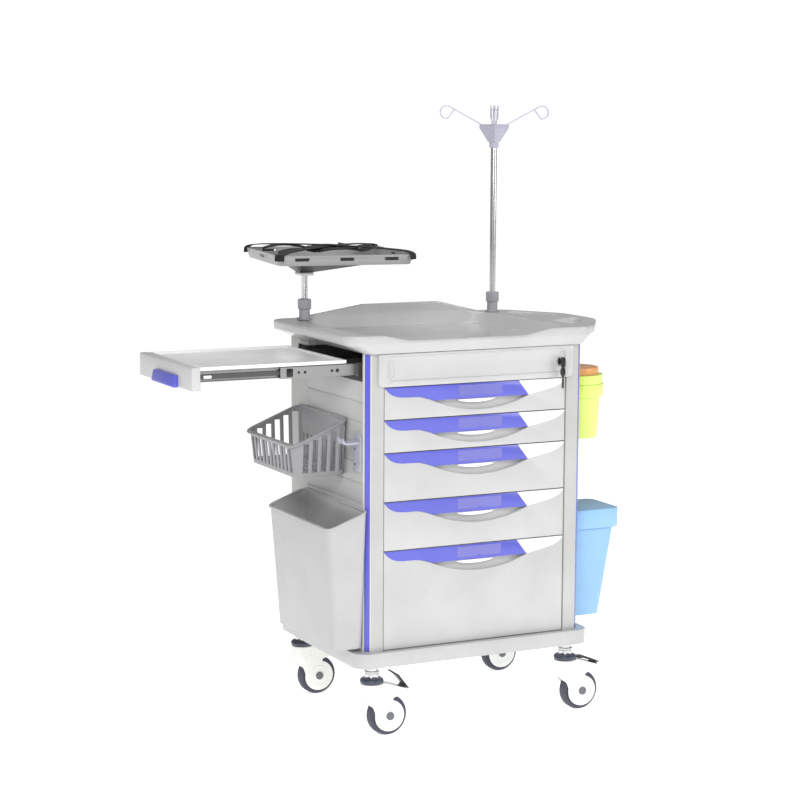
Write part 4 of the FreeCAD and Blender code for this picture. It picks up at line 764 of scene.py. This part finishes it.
@dataclass
class DrawerFace:
    """The coloured inlay, white end piece, label window and pull lip on one drawer front."""

    index: int
    half: float = 249.0
    face: float = -226.5
    proud: float = 0.8
    swoosh: tuple[tuple[float, float], ...] = (
        (0, 0), (4, 5), (9, 10.5), (15, 15.5), (22, 19.6), (30, 22.6), (40, 24.7), (52, 25.8), (68, 26.0),
        (84, 26.2), (98, 27.2), (110, 29.6), (120, 33.0), (130, 37.0),
    )
    white_low: tuple[tuple[float, float], ...] = (
        (396, 36), (404, 34.6), (420, 31.8), (440, 28.0), (456, 24.8), (468, 21.8), (478, 18.0), (486, 13.6),
        (492, 9.4), (498, 3.5),
    )
    window: tuple[float, float, float, float] = (200.0, 322.0, 4.0, 30.0)
    lip: tuple[float, float, float, float] = (198.0, 305.0, 38.4, 47.5)

    def top(self) -> float:
        """Height of the front's upper edge in millimetres."""
        return corners("drawer_%d_front" % self.index)[1].z / MM

    def point(self, across: float, down: float, depth: float) -> Vector:
        """A point on the front.

        Args:
            across: millimetres from the left edge on a 500 wide drawing.
            down: millimetres below the upper edge.
            depth: millimetres in front of the face.

        Returns:
            The point.
        """
        scale = self.half * 2 / 500.0
        return at(-self.half + across * scale, self.face - depth, self.top() - down)

    def accent(self) -> None:
        """Blue band with its wave at the left and slanted end."""
        line = list(self.swoosh) + [(396, 37), (367, 0)]
        outline = [self.point(x, d, self.proud) for x, d in line]
        piece = Maker.prism("drawer_%d_wave" % self.index, outline, Vector((0, 2.4 * MM, 0)))
        Bench.soften(piece, 0.0004, 2)
        node = "drawer_%d_accent" % self.index
        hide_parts(node)
        Bench.dress(piece, BLUE, node)

    def white_end(self) -> None:
        """White piece that fills the right end of the band."""
        line = [(368.2, 0)] + [(x + 1, d) for x, d in self.white_low] + [(499, 0)]
        outline = [self.point(x, d, 0.7) for x, d in line]
        piece = Maker.prism("drawer_%d_end" % self.index, outline, Vector((0, 2.0 * MM, 0)))
        Bench.soften(piece, 0.0005, 2)
        Bench.dress(piece, WHITE, "drawer_%d_front" % self.index)

    def label_window(self) -> None:
        """Clear label cover with a small finger notch at its lower edge."""
        x0, x1, d0, d1 = self.window
        mid = (x0 + x1) / 2
        line = [(x0, d0), (x0, d1), (mid - 9, d1), (mid - 5, d1 - 1.5), (mid - 2, d1 - 5), (mid + 2, d1 - 5),
                (mid + 5, d1 - 1.5), (mid + 9, d1), (x1, d1), (x1, d0)]
        outline = [self.point(x, d, self.proud + 0.5) for x, d in line]
        piece = Maker.prism("drawer_%d_label" % self.index, outline, Vector((0, 0.9 * MM, 0)))
        Bench.pick(piece)
        bpy.ops.object.mode_set(mode="EDIT")
        mesh = bmesh.from_edit_mesh(piece.data)
        for one in mesh.faces:
            one.select = one.normal.y < -0.9
        bmesh.update_edit_mesh(piece.data)
        bpy.ops.mesh.inset(thickness=0.0011, depth=-0.0003)
        bpy.ops.object.mode_set(mode="OBJECT")
        node = "drawer_%d_accent" % self.index
        Bench.dress(piece, LABEL_EDGE, node)
        piece.data.materials.append(LABEL.material())
        for one in piece.data.polygons:
            one.material_index = 1 if one.select else 0

    def pull_lip(self) -> None:
        """White crescent under the band that the fingers take hold of."""
        x0, x1, d0, d1 = self.lip
        steps = 14
        line = [(x0, d0)]
        for k in range(1, steps):
            share = k / steps
            line.append((x0 + (x1 - x0) * share, d0 + 1 + (d1 - d0 - 1) * math.sin(math.pi * share) ** 0.6))
        line.append((x1, d0))
        outline = [self.point(x, d, -1.5) for x, d in line]
        piece = Maker.prism("drawer_%d_lip" % self.index, outline, Vector((0, 9.0 * MM, 0)))
        Bench.soften(piece, 0.0012, 3)
        node = "drawer_%d_front" % self.index
        Bench.dress(piece, WHITE, node)

    def build(self) -> None:
        """Makes the front with its inlays."""
        Bench.remake("drawer_%d_front" % self.index, DRAWER, 0.0012)
        self.accent()
        self.white_end()
        self.label_window()
        self.pull_lip()


@dataclass
class Caster:
    """One swivel caster: smooth fork, tyre, axle caps, bearing collar and mounting nut."""

    place: str
    x: float
    y: float
    trail: float = 40.0
    wheel: float = 50.0
    outer: float = 21.0
    collar_low: float = 132.5
    nut_low: float = 145.6

    def fork(self) -> None:
        """White moulded fork with soft edges everywhere."""
        node = "caster_housing_" + self.place
        piece = Bench.from_node(node, node + "_fork")
        head = self.cylinder("head", 28.0, 90.0, 108.0)
        half = Maker.block("half", at(self.x + 1, self.y - 40, 80), at(self.x + 60, self.y + 40, 120))
        Maker.cut(head, [half])
        piece = Maker.join([piece, head])
        surround = Maker.block("surround", at(self.x - 50, self.y - 50, 84), at(self.x, self.y + 50, 140))
        Maker.cut(surround, [self.cylinder("bore", 28.2, 70.0, 150.0)])
        Maker.cut(piece, [surround])
        piece.name = node + "_fork"
        Bench.modify(piece, "REMESH", mode="VOXEL", voxel_size=0.0013, use_smooth_shade=True)
        Bench.modify(piece, "SMOOTH", factor=0.5, iterations=8)
        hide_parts(node)
        Bench.dress(piece, CASTER, node)

    def cylinder(self, name: str, radius: float, low: float, high: float) -> bpy.types.Object:
        """Adds an upright cylinder about the swivel axis.

        Args:
            name: the object's name.
            radius: its radius in millimetres.
            low: the height of its foot.
            high: the height of its top.

        Returns:
            The new object.
        """
        Bench.clear()
        bpy.ops.mesh.primitive_cylinder_add(
            vertices=64, radius=radius * MM, depth=(high - low) * MM,
            location=at(self.x, self.y, (low + high) / 2),
        )
        piece = bpy.context.object
        piece.name = name
        Bench.settle(piece)
        return piece

    def discs(self) -> None:
        """Dark axle caps and the raised ring round each, on both cheeks."""
        node = "caster_housing_" + self.place
        caps = []
        rings = []
        for side in (-1, 1):
            centre = at(self.x + self.trail, self.y + side * (self.outer + 1.2), self.wheel)
            Bench.clear()
            bpy.ops.mesh.primitive_cylinder_add(
                vertices=40, radius=0.0102, depth=0.0052, location=centre, rotation=(math.pi / 2, 0, 0)
            )
            caps.append(bpy.context.object)
            Bench.clear()
            bpy.ops.mesh.primitive_torus_add(
                location=at(self.x + self.trail, self.y + side * (self.outer - 0.3), self.wheel),
                rotation=(math.pi / 2, 0, 0), major_segments=64, minor_segments=10,
                major_radius=0.0262, minor_radius=0.0012,
            )
            rings.append(bpy.context.object)
        cap = Maker.join(caps)
        cap.name = "caster_cap_" + self.place
        Bench.settle(cap)
        Bench.soften(cap, 0.0012, 3)
        Bench.dress(cap, AXLE, node)
        ring = Maker.join(rings)
        ring.name = "caster_ring_" + self.place
        Bench.settle(ring)
        bpy.ops.object.shade_smooth()
        Bench.dress(ring, CASTER, node)

    def collar(self) -> None:
        """Slate bearing collar with a rolled edge and a narrower crown."""
        profile = [(0.0, 0.2), (24.0, 0.2), (27.0, 1.0), (28.8, 3.4), (28.9, 7.6), (27.6, 10.6),
                   (24.8, 12.6), (21.0, 13.4), (0.0, 13.4)]
        piece = Maker.turned("caster_collar_" + self.place, at(self.x, self.y, self.collar_low), profile)
        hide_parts("caster_stems")
        Bench.dress(piece, COLLAR, "caster_stems")

    def nut(self) -> None:
        """Plated star nut between the collar and the base."""
        points = []
        for k in range(48):
            turn = math.tau * k / 48
            reach = 16.2 + 2.4 * math.cos(6 * turn)
            points.append(at(self.x + reach * math.cos(turn), self.y + reach * math.sin(turn), self.nut_low))
        piece = Maker.prism("caster_nut_" + self.place, points, Vector((0, 0, 13.5 * MM)))
        Bench.soften(piece, 0.0012, 3)
        Bench.dress(piece, STEEL, "caster_stems")
        profile = [(0.0, 13.0), (17.5, 13.2), (18.2, 14.2), (18.2, 17.0), (17.2, 18.0), (14.2, 18.6),
                   (14.2, 30.6), (0.0, 30.8)]
        neck = Maker.turned("caster_neck_" + self.place, at(self.x, self.y, self.nut_low), profile)
        Bench.dress(neck, STEEL, "caster_stems")

    def build(self) -> None:
        """Makes the whole caster."""
        self.fork()
        self.discs()
        Bench.remake("caster_wheel_" + self.place, TYRE, 0.001)
        self.collar()
        self.nut()


@dataclass
class HungTub:
    """A tub hung on the left side: basket or waste bin, with a rolled rim."""

    node: str
    finish: Finish
    near: float
    far: float
    reach: float
    top: float
    slope: float
    corner: float
    bar: float
    wall: float = -299.5

    def rim_z(self, x: float) -> float:
        """Height of the rim over a place x millimetres along."""
        return self.top - (self.wall - x) * math.tan(math.radians(self.slope))

    def rim(self) -> bpy.types.Object:
        """Round bar along the rim."""
        x1 = self.wall - 1.5
        x0 = self.wall - self.reach + self.bar / 2
        y0 = self.near + self.bar / 2
        y1 = self.far - self.bar / 2
        round_ = self.corner
        path = []
        arcs = (
            (x0 + round_, y0 + round_, math.pi, round_), (x1 - round_, y0 + round_, math.pi * 1.5, round_),
            (x1 - round_, y1 - round_, 0.0, round_), (x0 + round_, y1 - round_, math.pi * 0.5, round_),
        )
        for cx, cy, start, radius in arcs:
            for k in range(9):
                turn = start + math.pi / 2 * k / 8
                x = cx + radius * math.cos(turn)
                y = cy + radius * math.sin(turn)
                path.append(at(x, y, self.rim_z(x) - self.bar * 0.4))
        piece = Maker.loop_tube(self.node + "_rim", path, self.bar * MM)
        return Bench.dress(piece, self.finish, self.node)

    def build(self) -> None:
        """Makes the shell and its rim."""
        Bench.remake(self.node, self.finish, 0.0012)
        self.rim()


@dataclass
class Basket(HungTub):
    """The slatted basket."""

    end_slots: tuple[float, ...] = (-314.0, -338.0, -362.0, -386.0, -410.0)
    slot_w: float = 14.5
    floor: float = 634.0
    side_first: float = -101.0
    side_pitch: float = 22.6
    side_count: int = 11
    side_w: float = 13.0

    def end_cutters(self) -> list[bpy.types.Object]:
        """Cutters for the upright slots in both end walls, each as high as the sloped rim allows."""
        tools = []
        for k, x in enumerate(self.end_slots):
            half = self.slot_w / 2
            high = self.rim_z(x - half) - 9
            low = at(x - half, self.near - 20, self.floor + 11)
            tools.append(Maker.block("slot_%d" % k, low, at(x + half, self.far + 20, high)))
        return tools

    def side_cutters(self) -> list[bpy.types.Object]:
        """Cutters for the narrow slots in the outer and inner walls."""
        tools = []
        high = self.rim_z(self.wall - self.reach) - 9
        for k in range(self.side_count):
            y = self.side_first + k * self.side_pitch
            low = at(self.wall - self.reach - 20, y - self.side_w / 2, self.floor + 11)
            tools.append(Maker.block("gap_%d" % k, low, at(self.wall + 20, y + self.side_w / 2, high)))
        return tools

    def floor_cutters(self) -> list[bpy.types.Object]:
        """Cutters for the lattice of the floor."""
        tools = []
        for x in (-318.0, -341.0, -364.0, -387.0, -410.0):
            for k in range(self.side_count):
                y = self.side_first + k * self.side_pitch
                low = at(x - 8, y - 8, self.floor - 6)
                tools.append(Maker.block("hole", low, at(x + 8, y + 8, self.floor + 8)))
        return tools

    def build(self) -> None:
        """Makes the slatted shell and its rim."""
        piece = Bench.from_node(self.node, self.node + "_slats")
        Maker.cut(piece, self.end_cutters())
        Maker.cut(piece, self.side_cutters())
        Maker.cut(piece, self.floor_cutters())
        Bench.soften(piece, 0.0007, 2)
        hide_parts(self.node)
        Bench.dress(piece, self.finish, self.node)
        self.rim()


@dataclass
class Platform:
    """The swivel platform with its crossed webbing."""

    post: tuple[float, float] = (-273.0, 190.0)
    offset: tuple[float, float] = (68.0, 20.0)
    turn: float = -9.5
    half_w: float = 176.0
    half_d: float = 182.5
    top: float = 1155.0
    strap_w: float = 26.0
    strap_t: float = 2.2
    hump: float = 9.0
    drop: float = 13.0

    def point(self, x: float, y: float, z: float) -> Vector:
        """A point given about the platform's middle, in its own direction."""
        turn = math.radians(self.turn)
        u = self.offset[0] + x
        v = self.offset[1] + y
        return at(
            self.post[0] + u * math.cos(turn) - v * math.sin(turn),
            self.post[1] + u * math.sin(turn) + v * math.cos(turn),
            z,
        )

    def strap(self, name: str, sign: float, lift: float) -> None:
        """One strap from corner to corner, humped in the middle and tucked over the rim at its ends.

        Args:
            name: the strap's name.
            sign: which diagonal it follows.
            lift: how much higher than the other it lies.
        """
        reach = math.hypot(self.half_w, self.half_d) - 8.5
        lean = math.atan2(self.half_d, self.half_w) * sign
        along = Vector((math.cos(lean), math.sin(lean)))
        side = Vector((-along.y, along.x))
        tuck = [(1.5, -self.drop), (1.2, -self.drop * 0.5), (0.6, -1.0), (-2.5, 1.6)]
        stations = [(-reach - out, height) for out, height in tuck]
        count = 40
        for k in range(count + 1):
            share = k / count
            x = (-reach + 8) + share * (2 * reach - 16)
            stations.append((x, 1.6 + lift + (self.hump * math.sin(math.pi * share) ** 0.5)))
        stations += [(reach + out, height) for out, height in reversed(tuck)]
        rows = 4
        Bench.clear()
        bpy.ops.mesh.primitive_grid_add(x_subdivisions=len(stations) - 1, y_subdivisions=rows, size=1.0)
        piece = bpy.context.object
        piece.name = name
        for vertex in piece.data.vertices:
            column = round((vertex.co.x + 0.5) * (len(stations) - 1))
            across = vertex.co.y * self.strap_w
            run, height = stations[column]
            spot = along * run + side * across
            vertex.co = self.point(spot.x, spot.y, self.top + height)
        self.finish(piece)
        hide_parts("platform_straps")

    def finish(self, piece: bpy.types.Object) -> None:
        """Gives a strap its thickness, soft edges and weave."""
        Bench.modify(piece, "SOLIDIFY", thickness=self.strap_t * MM, offset=1.0)
        Bench.soften(piece, 0.0005, 2)
        Bench.dress(piece, WEBBING, "platform_straps")

    def loop(self, name: str, start: tuple[float, float], end: tuple[float, float], hump: float) -> None:
        """A loose length of webbing lying in low waves over the tray.

        Args:
            name: the piece's name.
            start: its first end about the platform's middle.
            end: its other end.
            hump: the height of its waves in millimetres.
        """
        run = Vector((end[0] - start[0], end[1] - start[1]))
        side = Vector((-run.y, run.x)).normalized()
        columns = 48
        Bench.clear()
        bpy.ops.mesh.primitive_grid_add(x_subdivisions=columns, y_subdivisions=4, size=1.0)
        piece = bpy.context.object
        piece.name = name
        for vertex in piece.data.vertices:
            share = vertex.co.x + 0.5
            across = vertex.co.y * self.strap_w
            sway = 16.0 * math.sin(share * math.tau)
            spot = Vector(start) + run * share + side * (across + sway)
            lift = 1.0 + hump * abs(math.sin(share * math.pi * 2.5)) ** 0.8
            vertex.co = self.point(spot.x, spot.y, self.top + lift + across * 0.12)
        self.finish(piece)

    def tray(self) -> None:
        """The tray, with the faces of its underside bracket painted dark as painted shade under the tray."""
        piece = Bench.remake("platform_tray", PLATFORM, 0.001)
        piece.data.materials.append(UNDERSIDE_SHADE.material())
        # Faces below the tray's floor that are not level take the dark painted shade.
        under = self.point(0, 0, 1130.2).z
        for one in piece.data.polygons:
            if all(piece.data.vertices[k].co.z < under for k in one.vertices) and abs(one.normal.z) < 0.98:
                one.material_index = 1

    def slot_backs(self) -> None:
        """Dark sheets behind every slot of the rim: painted shade inside the slots."""
        backs = []
        places = [((self.half_w * 2 - 3) * share, side * (self.half_d - 2.2), 0)
                  for share in (-0.33, 0.0, 0.33) for side in (-1, 1)]
        places += [(side * (self.half_w - 2.2), 0.0, 1) for side in (-1, 1)]
        for x, y, turned in places:
            half_x, half_y = (0.8, 17.0) if turned else (17.0, 0.8)
            ring = [self.point(x + a * half_x, y + b * half_y, 1141.5)
                    for a, b in ((-1, -1), (1, -1), (1, 1), (-1, 1))]
            backs.append(Maker.prism("back", ring, Vector((0, 0, 9.0 * MM))))
        # Black sheets behind the rim's slots: painted shade seen through the slots.
        piece = Maker.join(backs)
        piece.name = "platform_slot_shade_sheets"
        Bench.soften(piece, 0.0003, 1)
        Bench.dress(piece, BLACK, "platform_straps")

    def buckle(self) -> None:
        """Loose strap ends gathered under a buckle where the straps cross."""
        ring = [self.point(a * 24, b * 17, self.top + 3.0) for a, b in
                ((-1, -0.6), (-0.7, -1), (0.7, -1), (1, -0.6), (1, 0.6), (0.7, 1), (-0.7, 1), (-1, 0.6))]
        piece = Maker.prism("strap_buckle", ring, Vector((0, 0, 9.0 * MM)))
        Bench.soften(piece, 0.003, 4)
        Bench.dress(piece, BLACK, "platform_straps")

    def build(self) -> None:
        """Makes the tray, the painted shade sheets behind its slots, and the straps."""
        self.tray()
        self.slot_backs()
        self.strap("strap_left", 1.0, 0.0)
        self.strap("strap_right", -1.0, 2.6)
        self.loop("strap_tail_near", (-150.0, -96.0), (118.0, -20.0), 7.0)
        self.loop("strap_tail_far", (-150.0, 92.0), (124.0, 30.0), 9.0)
        self.loop("strap_tail_middle", (-60.0, -60.0), (60.0, 84.0), 10.0)
        self.buckle()


@dataclass
class Worktop:
    """The one-piece moulded worktop with its wing and grips."""

    voxel: float = 0.0028
    passes: int = 4

    def build(self) -> None:
        """Makes the flowing moulding."""
        piece = Maker.mould("worktop", "worktop_moulding", self.voxel, self.passes)
        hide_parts("worktop")
        Bench.dress(piece, SHELL, "worktop")


@dataclass
class ColumnTrim:
    """Ivory borders on both sides of the blue strip on each column."""

    half_w: float = 299.0
    half_d: float = 229.0
    chamfer: float = 16.0
    width: float = 20.6
    thick: float = 0.8
    low: float = 213.5
    high: float = 937.0

    def build(self) -> None:
        """Makes the four border strips."""
        reach = self.width / 2 / math.sqrt(2)
        out = self.thick / math.sqrt(2)
        for number, (sx, sy) in enumerate(((1, -1), (-1, -1), (1, 1), (-1, 1))):
            cx = self.half_w - self.chamfer / 2
            cy = self.half_d - self.chamfer / 2
            plan = [(cx - reach, cy + reach), (cx + reach, cy - reach), (cx + reach + out, cy - reach + out),
                    (cx - reach + out, cy + reach + out)]
            outline = [at(sx * x, sy * y, self.low) for x, y in plan]
            height = Vector((0, 0, (self.high - self.low) * MM))
            piece = Maker.prism("column_border_%d" % number, outline, height)
            Bench.soften(piece, 0.0003, 2)
            Bench.dress(piece, IVORY, "column_trim_strips")


@dataclass
class Knob:
    """A fluted clamp knob with a domed top."""

    node: str
    flutes: int = 12
    radius: float = 17.2
    ripple: float = 0.9
    crown: float = 5.0

    def build(self) -> None:
        """Makes the knob in its solid's place."""
        low, high = corners(self.node)
        middle = (low + high) / 2
        outline = []
        for k in range(self.flutes * 8):
            turn = math.tau * k / (self.flutes * 8)
            reach = (self.radius - self.ripple + self.ripple * math.cos(self.flutes * turn)) * MM
            x = middle.x + reach * math.cos(turn)
            outline.append(Vector((x, middle.y + reach * math.sin(turn), low.z)))
        piece = Maker.prism(self.node + "_grip", outline, Vector((0, 0, high.z - low.z)))
        Bench.modify(
            piece, "BEVEL", width=self.crown * MM, segments=6, limit_method="ANGLE",
            angle_limit=math.radians(60),
        )
        Bench.pick(piece)
        bpy.ops.object.shade_smooth_by_angle(angle=math.radians(50))
        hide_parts(self.node)
        Bench.dress(piece, KNOB, self.node)


@dataclass
class ShelfSlides:
    """Detail on the ball slides at both sides of the side shelf."""

    near: float = -183.0
    far: float = 166.0
    outer: float = -700.0
    middle_low: float = 884.0
    middle_high: float = 911.0
    mid_out: float = -499.0
    latch_x: float = -477.0

    def holes(self, side: float, face: float) -> None:
        """Dark discs at the screw and lock holes of the middle member: painted shade inside the holes.

        Args:
            side: -1 on the near side, 1 on the far side.
            face: the slide's outer face.
        """
        marks = []
        z = (self.middle_low + self.middle_high) / 2
        for x, wide in ((-452.0, 3.2), (-436.0, 3.6), (-366.0, 3.4), (-352.0, 4.6)):
            Bench.clear()
            bpy.ops.mesh.primitive_cylinder_add(
                vertices=24, radius=wide * MM, depth=0.0006, location=at(x, face + side * -1.9, z),
                rotation=(math.pi / 2, 0, 0),
            )
            marks.append(bpy.context.object)
        # Black discs stand for the shade inside each hole.
        piece = Maker.join(marks)
        piece.name = "slide_hole_shade_" + ("near" if side < 0 else "far")
        Bench.settle(piece)
        Bench.soften(piece, 0.0001, 1)
        Bench.dress(piece, BLACK, "shelf_mid_rails")

    def build(self) -> None:
        """Makes the dark strips that stand for painted shade in the slide channels, the latches, and the
        dark discs that stand for painted shade in the holes.
        """
        for side, face in ((-1.0, self.near), (1.0, self.far)):
            name = "near" if side < 0 else "far"
            inner = face - side * 9.0
            low = at(self.outer + 4, min(inner, inner + side * 0.8), self.middle_low + 8)
            high = at(self.latch_x, max(inner, inner + side * 0.8), self.middle_high - 8)
            # Dark strip inside each slide channel: painted shade.
            strip = Maker.block("slide_channel_shade_" + name, low, high)
            Bench.soften(strip, 0.0002, 1)
            Bench.dress(strip, SLIDE_CHANNEL_SHADE, "shelf_runners")
            low = at(self.latch_x - 6, min(face, inner), self.middle_low + 3.5)
            high = at(self.latch_x + 10, max(face, inner), self.middle_high - 3.5)
            latch = Maker.block("slide_latch_" + name, low, high)
            Bench.soften(latch, 0.0012, 2)
            Bench.dress(latch, BLACK, "shelf_mid_rails")
            clip_low = at(self.outer + 10, min(inner, inner + side * 3), self.middle_low + 10)
            clip_high = at(self.outer + 30, max(inner, inner + side * 3), self.middle_high - 10)
            clip = Maker.block("slide_clip_" + name, clip_low, clip_high)
            Bench.soften(clip, 0.0014, 3)
            Bench.dress(clip, WHITE, "shelf_runners")
            self.holes(side, face)


@dataclass
class Fascia:
    """The fixed top panel with its embossed field."""

    half: float = 245.0
    low: float = 870.0
    high: float = 930.0
    face: float = -235.0
    corner: float = 12.0

    def ridge(
        self, name: str, box: tuple[float, float, float, float], corner: float, face: float, bar: float
    ) -> None:
        """A raised line round a rounded rectangle.

        Args:
            name: the piece's name.
            box: left, right, bottom and top.
            corner: the corners' radius.
            face: how far forward the line lies.
            bar: the line's radius.
        """
        left, right, low, high = box
        path = []
        arcs = ((right - corner, high - corner, 0.0), (left + corner, high - corner, 0.5),
                (left + corner, low + corner, 1.0), (right - corner, low + corner, 1.5))
        for cx, cz, start in arcs:
            for k in range(8):
                turn = math.pi * (start + 0.5 * k / 7)
                path.append(at(cx + corner * math.cos(turn), face, cz + corner * math.sin(turn)))
        piece = Maker.loop_tube(name, path, bar * MM)
        Bench.dress(piece, DRAWER, "front_fascia")

    def build(self) -> None:
        """Makes the panel, its embossed edge and the oval at each end."""
        Bench.remake("front_fascia", DRAWER, 0.0018)
        field = (-self.half, self.half, self.low, self.high)
        self.ridge("fascia_edge", field, self.corner, self.face + 0.4, 1.3)
        for name, x in (("fascia_oval_left", -233.0), ("fascia_oval_right", 235.0)):
            self.ridge(name, (x - 5.5, x + 5.5, 881.0, 921.0), 5.4, self.face + 1.4, 0.9)


@dataclass
class DoubleHook:
    """Wall plate with two flat upturned prongs."""

    near: float = -207.0
    far: float = -165.0
    low: float = 650.0
    high: float = 747.0
    wall: float = -299.0
    thick: float = 4.0
    prongs: tuple[float, float] = (-197.0, -175.0)
    width: float = 13.0

    def plate(self) -> None:
        """The plate with its rounded top, and black discs as painted shade in its screw holes."""
        radius = (self.far - self.near) / 2
        middle = (self.far + self.near) / 2
        outline = [at(self.wall, self.near, self.low), at(self.wall, self.far, self.low)]
        for k in range(17):
            turn = math.pi * k / 16
            y = middle + radius * math.cos(turn)
            outline.append(at(self.wall, y, self.high - radius + radius * math.sin(turn)))
        piece = Maker.prism("hook_plate", outline, Vector((-self.thick * MM, 0, 0)))
        Bench.soften(piece, 0.0012, 3)
        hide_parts("double_hook")
        Bench.dress(piece, LILAC, "double_hook")
        holes = []
        for z in (668.0, 705.0):
            Bench.clear()
            bpy.ops.mesh.primitive_cylinder_add(
                vertices=24, radius=0.0028, depth=0.0006, rotation=(0, math.pi / 2, 0),
                location=at(self.wall - self.thick - 0.1, self.far - 11, z),
            )
            holes.append(bpy.context.object)
        # Black discs stand for the shade inside the screw holes.
        marks = Maker.join(holes)
        marks.name = "hook_screw_hole_shade"
        Bench.settle(marks)
        Bench.soften(marks, 0.0001, 1)
        Bench.dress(marks, BLACK, "double_hook")

    def prong(self, number: int, y: float) -> None:
        """One prong, a flat tongue whose tip turns up."""
        start = self.wall - self.thick + 1
        profile = [(start, 718.5), (-336.0, 718.5), (-342.5, 720.0), (-347.0, 724.5), (-349.0, 732.0),
                   (-348.0, 735.5), (-345.2, 735.5), (-343.4, 730.0), (-340.5, 726.0), (-336.0, 724.4),
                   (start, 726.0)]
        outline = [at(x, y - self.width / 2, z) for x, z in profile]
        piece = Maker.prism("hook_prong_%d" % number, outline, Vector((0, self.width * MM, 0)))
        Bench.soften(piece, 0.0018, 4, 40.0)
        Bench.dress(piece, LILAC, "double_hook")

    def build(self) -> None:
        """Makes the plate and both prongs."""
        self.plate()
        for number, y in enumerate(self.prongs):
            self.prong(number, y)


@dataclass
class PlainPieces:
    """The pieces whose own solids have the right shape, with their edges softened."""

    handled: set[str]

    def build(self) -> None:
        """Softens and finishes every node that no other class has made."""
        for node in frame["nodes"]:
            if node in self.handled:
                continue
            if node.startswith("brake"):
                Bench.remake(node, BLACK, 0.001)
            elif node.endswith("_tub"):
                Bench.remake(node, TUB, 0.0006)
            else:
                finish, width = NODE_FINISH[node]
                Bench.remake(node, finish, width)


@dataclass(frozen=True)
class Lamp:
    """One square soft box, its place given from the floor point under the cabinet, in metres."""

    name: str
    place: tuple[float, float, float]
    size: float
    power: float


@dataclass
class Studio:
    """Floor, soft lights and the camera."""

    lens: float = 98.2
    stand: tuple[float, float, float] = (-2.5095, -4.8581, 1.5291)
    heading: float = -26.424
    pitch: float = -7.762
    roll: float = -0.305
    ambient: float = 0.36
    backdrop: float = 1.05
    floor_glow: float = 0.68
    aim_height: float = 0.6
    lamps: tuple[Lamp, ...] = (
        Lamp("key", (-2.4, -3.6, 3.0), 1.6, 104),
        Lamp("fill", (3.2, -3.0, 2.2), 1.6, 46),
        Lamp("top", (0.0, 0.4, 3.8), 2.2, 30),
    )

    def floor(self) -> None:
        """Adds the plain pale floor."""
        Bench.clear()
        bpy.ops.mesh.primitive_plane_add(size=40, location=(0, 0, 0))
        ground = bpy.context.object
        ground.name = "studio_floor"
        paint = FLOOR.material()
        shader = paint.node_tree.nodes["Principled BSDF"]
        shader.inputs["Emission Color"].default_value = WHITE_LIGHT
        shader.inputs["Emission Strength"].default_value = self.floor_glow
        ground.data.materials.append(paint)

    def lamp(self, lamp: Lamp, centre: Vector) -> None:
        """Hangs one lamp, facing the cart.

        Args:
            lamp: the lamp.
            centre: the floor point under the middle of the cabinet.
        """
        data = bpy.data.lights.new(lamp.name, "AREA")
        data.size = lamp.size
        data.energy = lamp.power
        box = bpy.data.objects.new(lamp.name, data)
        bpy.context.scene.collection.objects.link(box)
        box.location = centre + Vector(lamp.place)
        aim = centre + Vector((0, 0, self.aim_height))
        box.rotation_euler = (aim - box.location).to_track_quat("-Z", "Y").to_euler()

    def camera(self, centre: Vector) -> None:
        """Adds the camera at the viewing angle.

        Args:
            centre: the floor point under the middle of the cabinet.
        """
        data = bpy.data.cameras.new("camera")
        data.lens = self.lens
        data.sensor_width = 36.0
        data.clip_end = 60.0
        camera = bpy.data.objects.new("camera", data)
        bpy.context.scene.collection.objects.link(camera)
        yaw = math.radians(self.heading)
        tilt = math.radians(self.pitch)
        forward = Vector((-math.sin(yaw) * math.cos(tilt), math.cos(yaw) * math.cos(tilt), math.sin(tilt)))
        turn = forward.to_track_quat("-Z", "Y").to_matrix().to_4x4()
        spin = Matrix.Rotation(math.radians(self.roll), 4, forward)
        camera.matrix_world = Matrix.Translation(centre + Vector(self.stand)) @ spin @ turn
        bpy.context.scene.camera = camera

    def build(self) -> None:
        """Adds everything around the cart."""
        centre = origin()
        self.floor()
        for lamp in self.lamps:
            self.lamp(lamp, centre)
        bpy.context.scene.view_settings.view_transform = "Standard"
        world = bpy.data.worlds.new("studio")
        bpy.context.scene.world = world
        world.use_nodes = True
        sky = world.node_tree.nodes["Background"]
        sky.inputs["Color"].default_value = WHITE_LIGHT
        ray = world.node_tree.nodes.new("ShaderNodeLightPath")
        strength = world.node_tree.nodes.new("ShaderNodeMapRange")
        strength.inputs["To Min"].default_value = self.ambient
        strength.inputs["To Max"].default_value = self.backdrop
        world.node_tree.links.new(ray.outputs["Is Camera Ray"], strength.inputs["Value"])
        world.node_tree.links.new(strength.outputs["Result"], sky.inputs["Strength"])
        self.camera(centre)


def main() -> None:
    """Builds the cart's sub-assemblies in order, then the light, floor and camera."""
    logging.basicConfig(level=logging.INFO, format="%(message)s")
    handled = {"worktop", "basket", "waste_bin", "platform_tray", "platform_straps", "caster_stems"}
    Worktop().build()
    ColumnTrim().build()
    for index in range(1, 6):
        DrawerFace(index).build()
        handled |= {"drawer_%d_front" % index, "drawer_%d_accent" % index}
    for place, x, y in CASTER_PLACES:
        Caster(place, x, y).build()
        handled |= {"caster_housing_" + place, "caster_wheel_" + place}
    Basket(
        node="basket", finish=BASKET, near=-137.0, far=163.0, reach=151.0, top=772.0, slope=21.7,
        corner=24.0, bar=3.6,
    ).build()
    HungTub(
        node="waste_bin", finish=BIN, near=-246.0, far=127.0, reach=106.0, top=563.0, slope=20.0,
        corner=19.0, bar=3.2,
    ).build()
    Platform().build()
    ShelfSlides().build()
    Fascia().build()
    DoubleHook().build()
    handled |= {"front_fascia", "double_hook"}
    for node in ("iv_knob", "platform_knob"):
        Knob(node).build()
        handled.add(node)
    PlainPieces(handled).build()
    Studio().build()


if __name__ == "__main__":
    main()
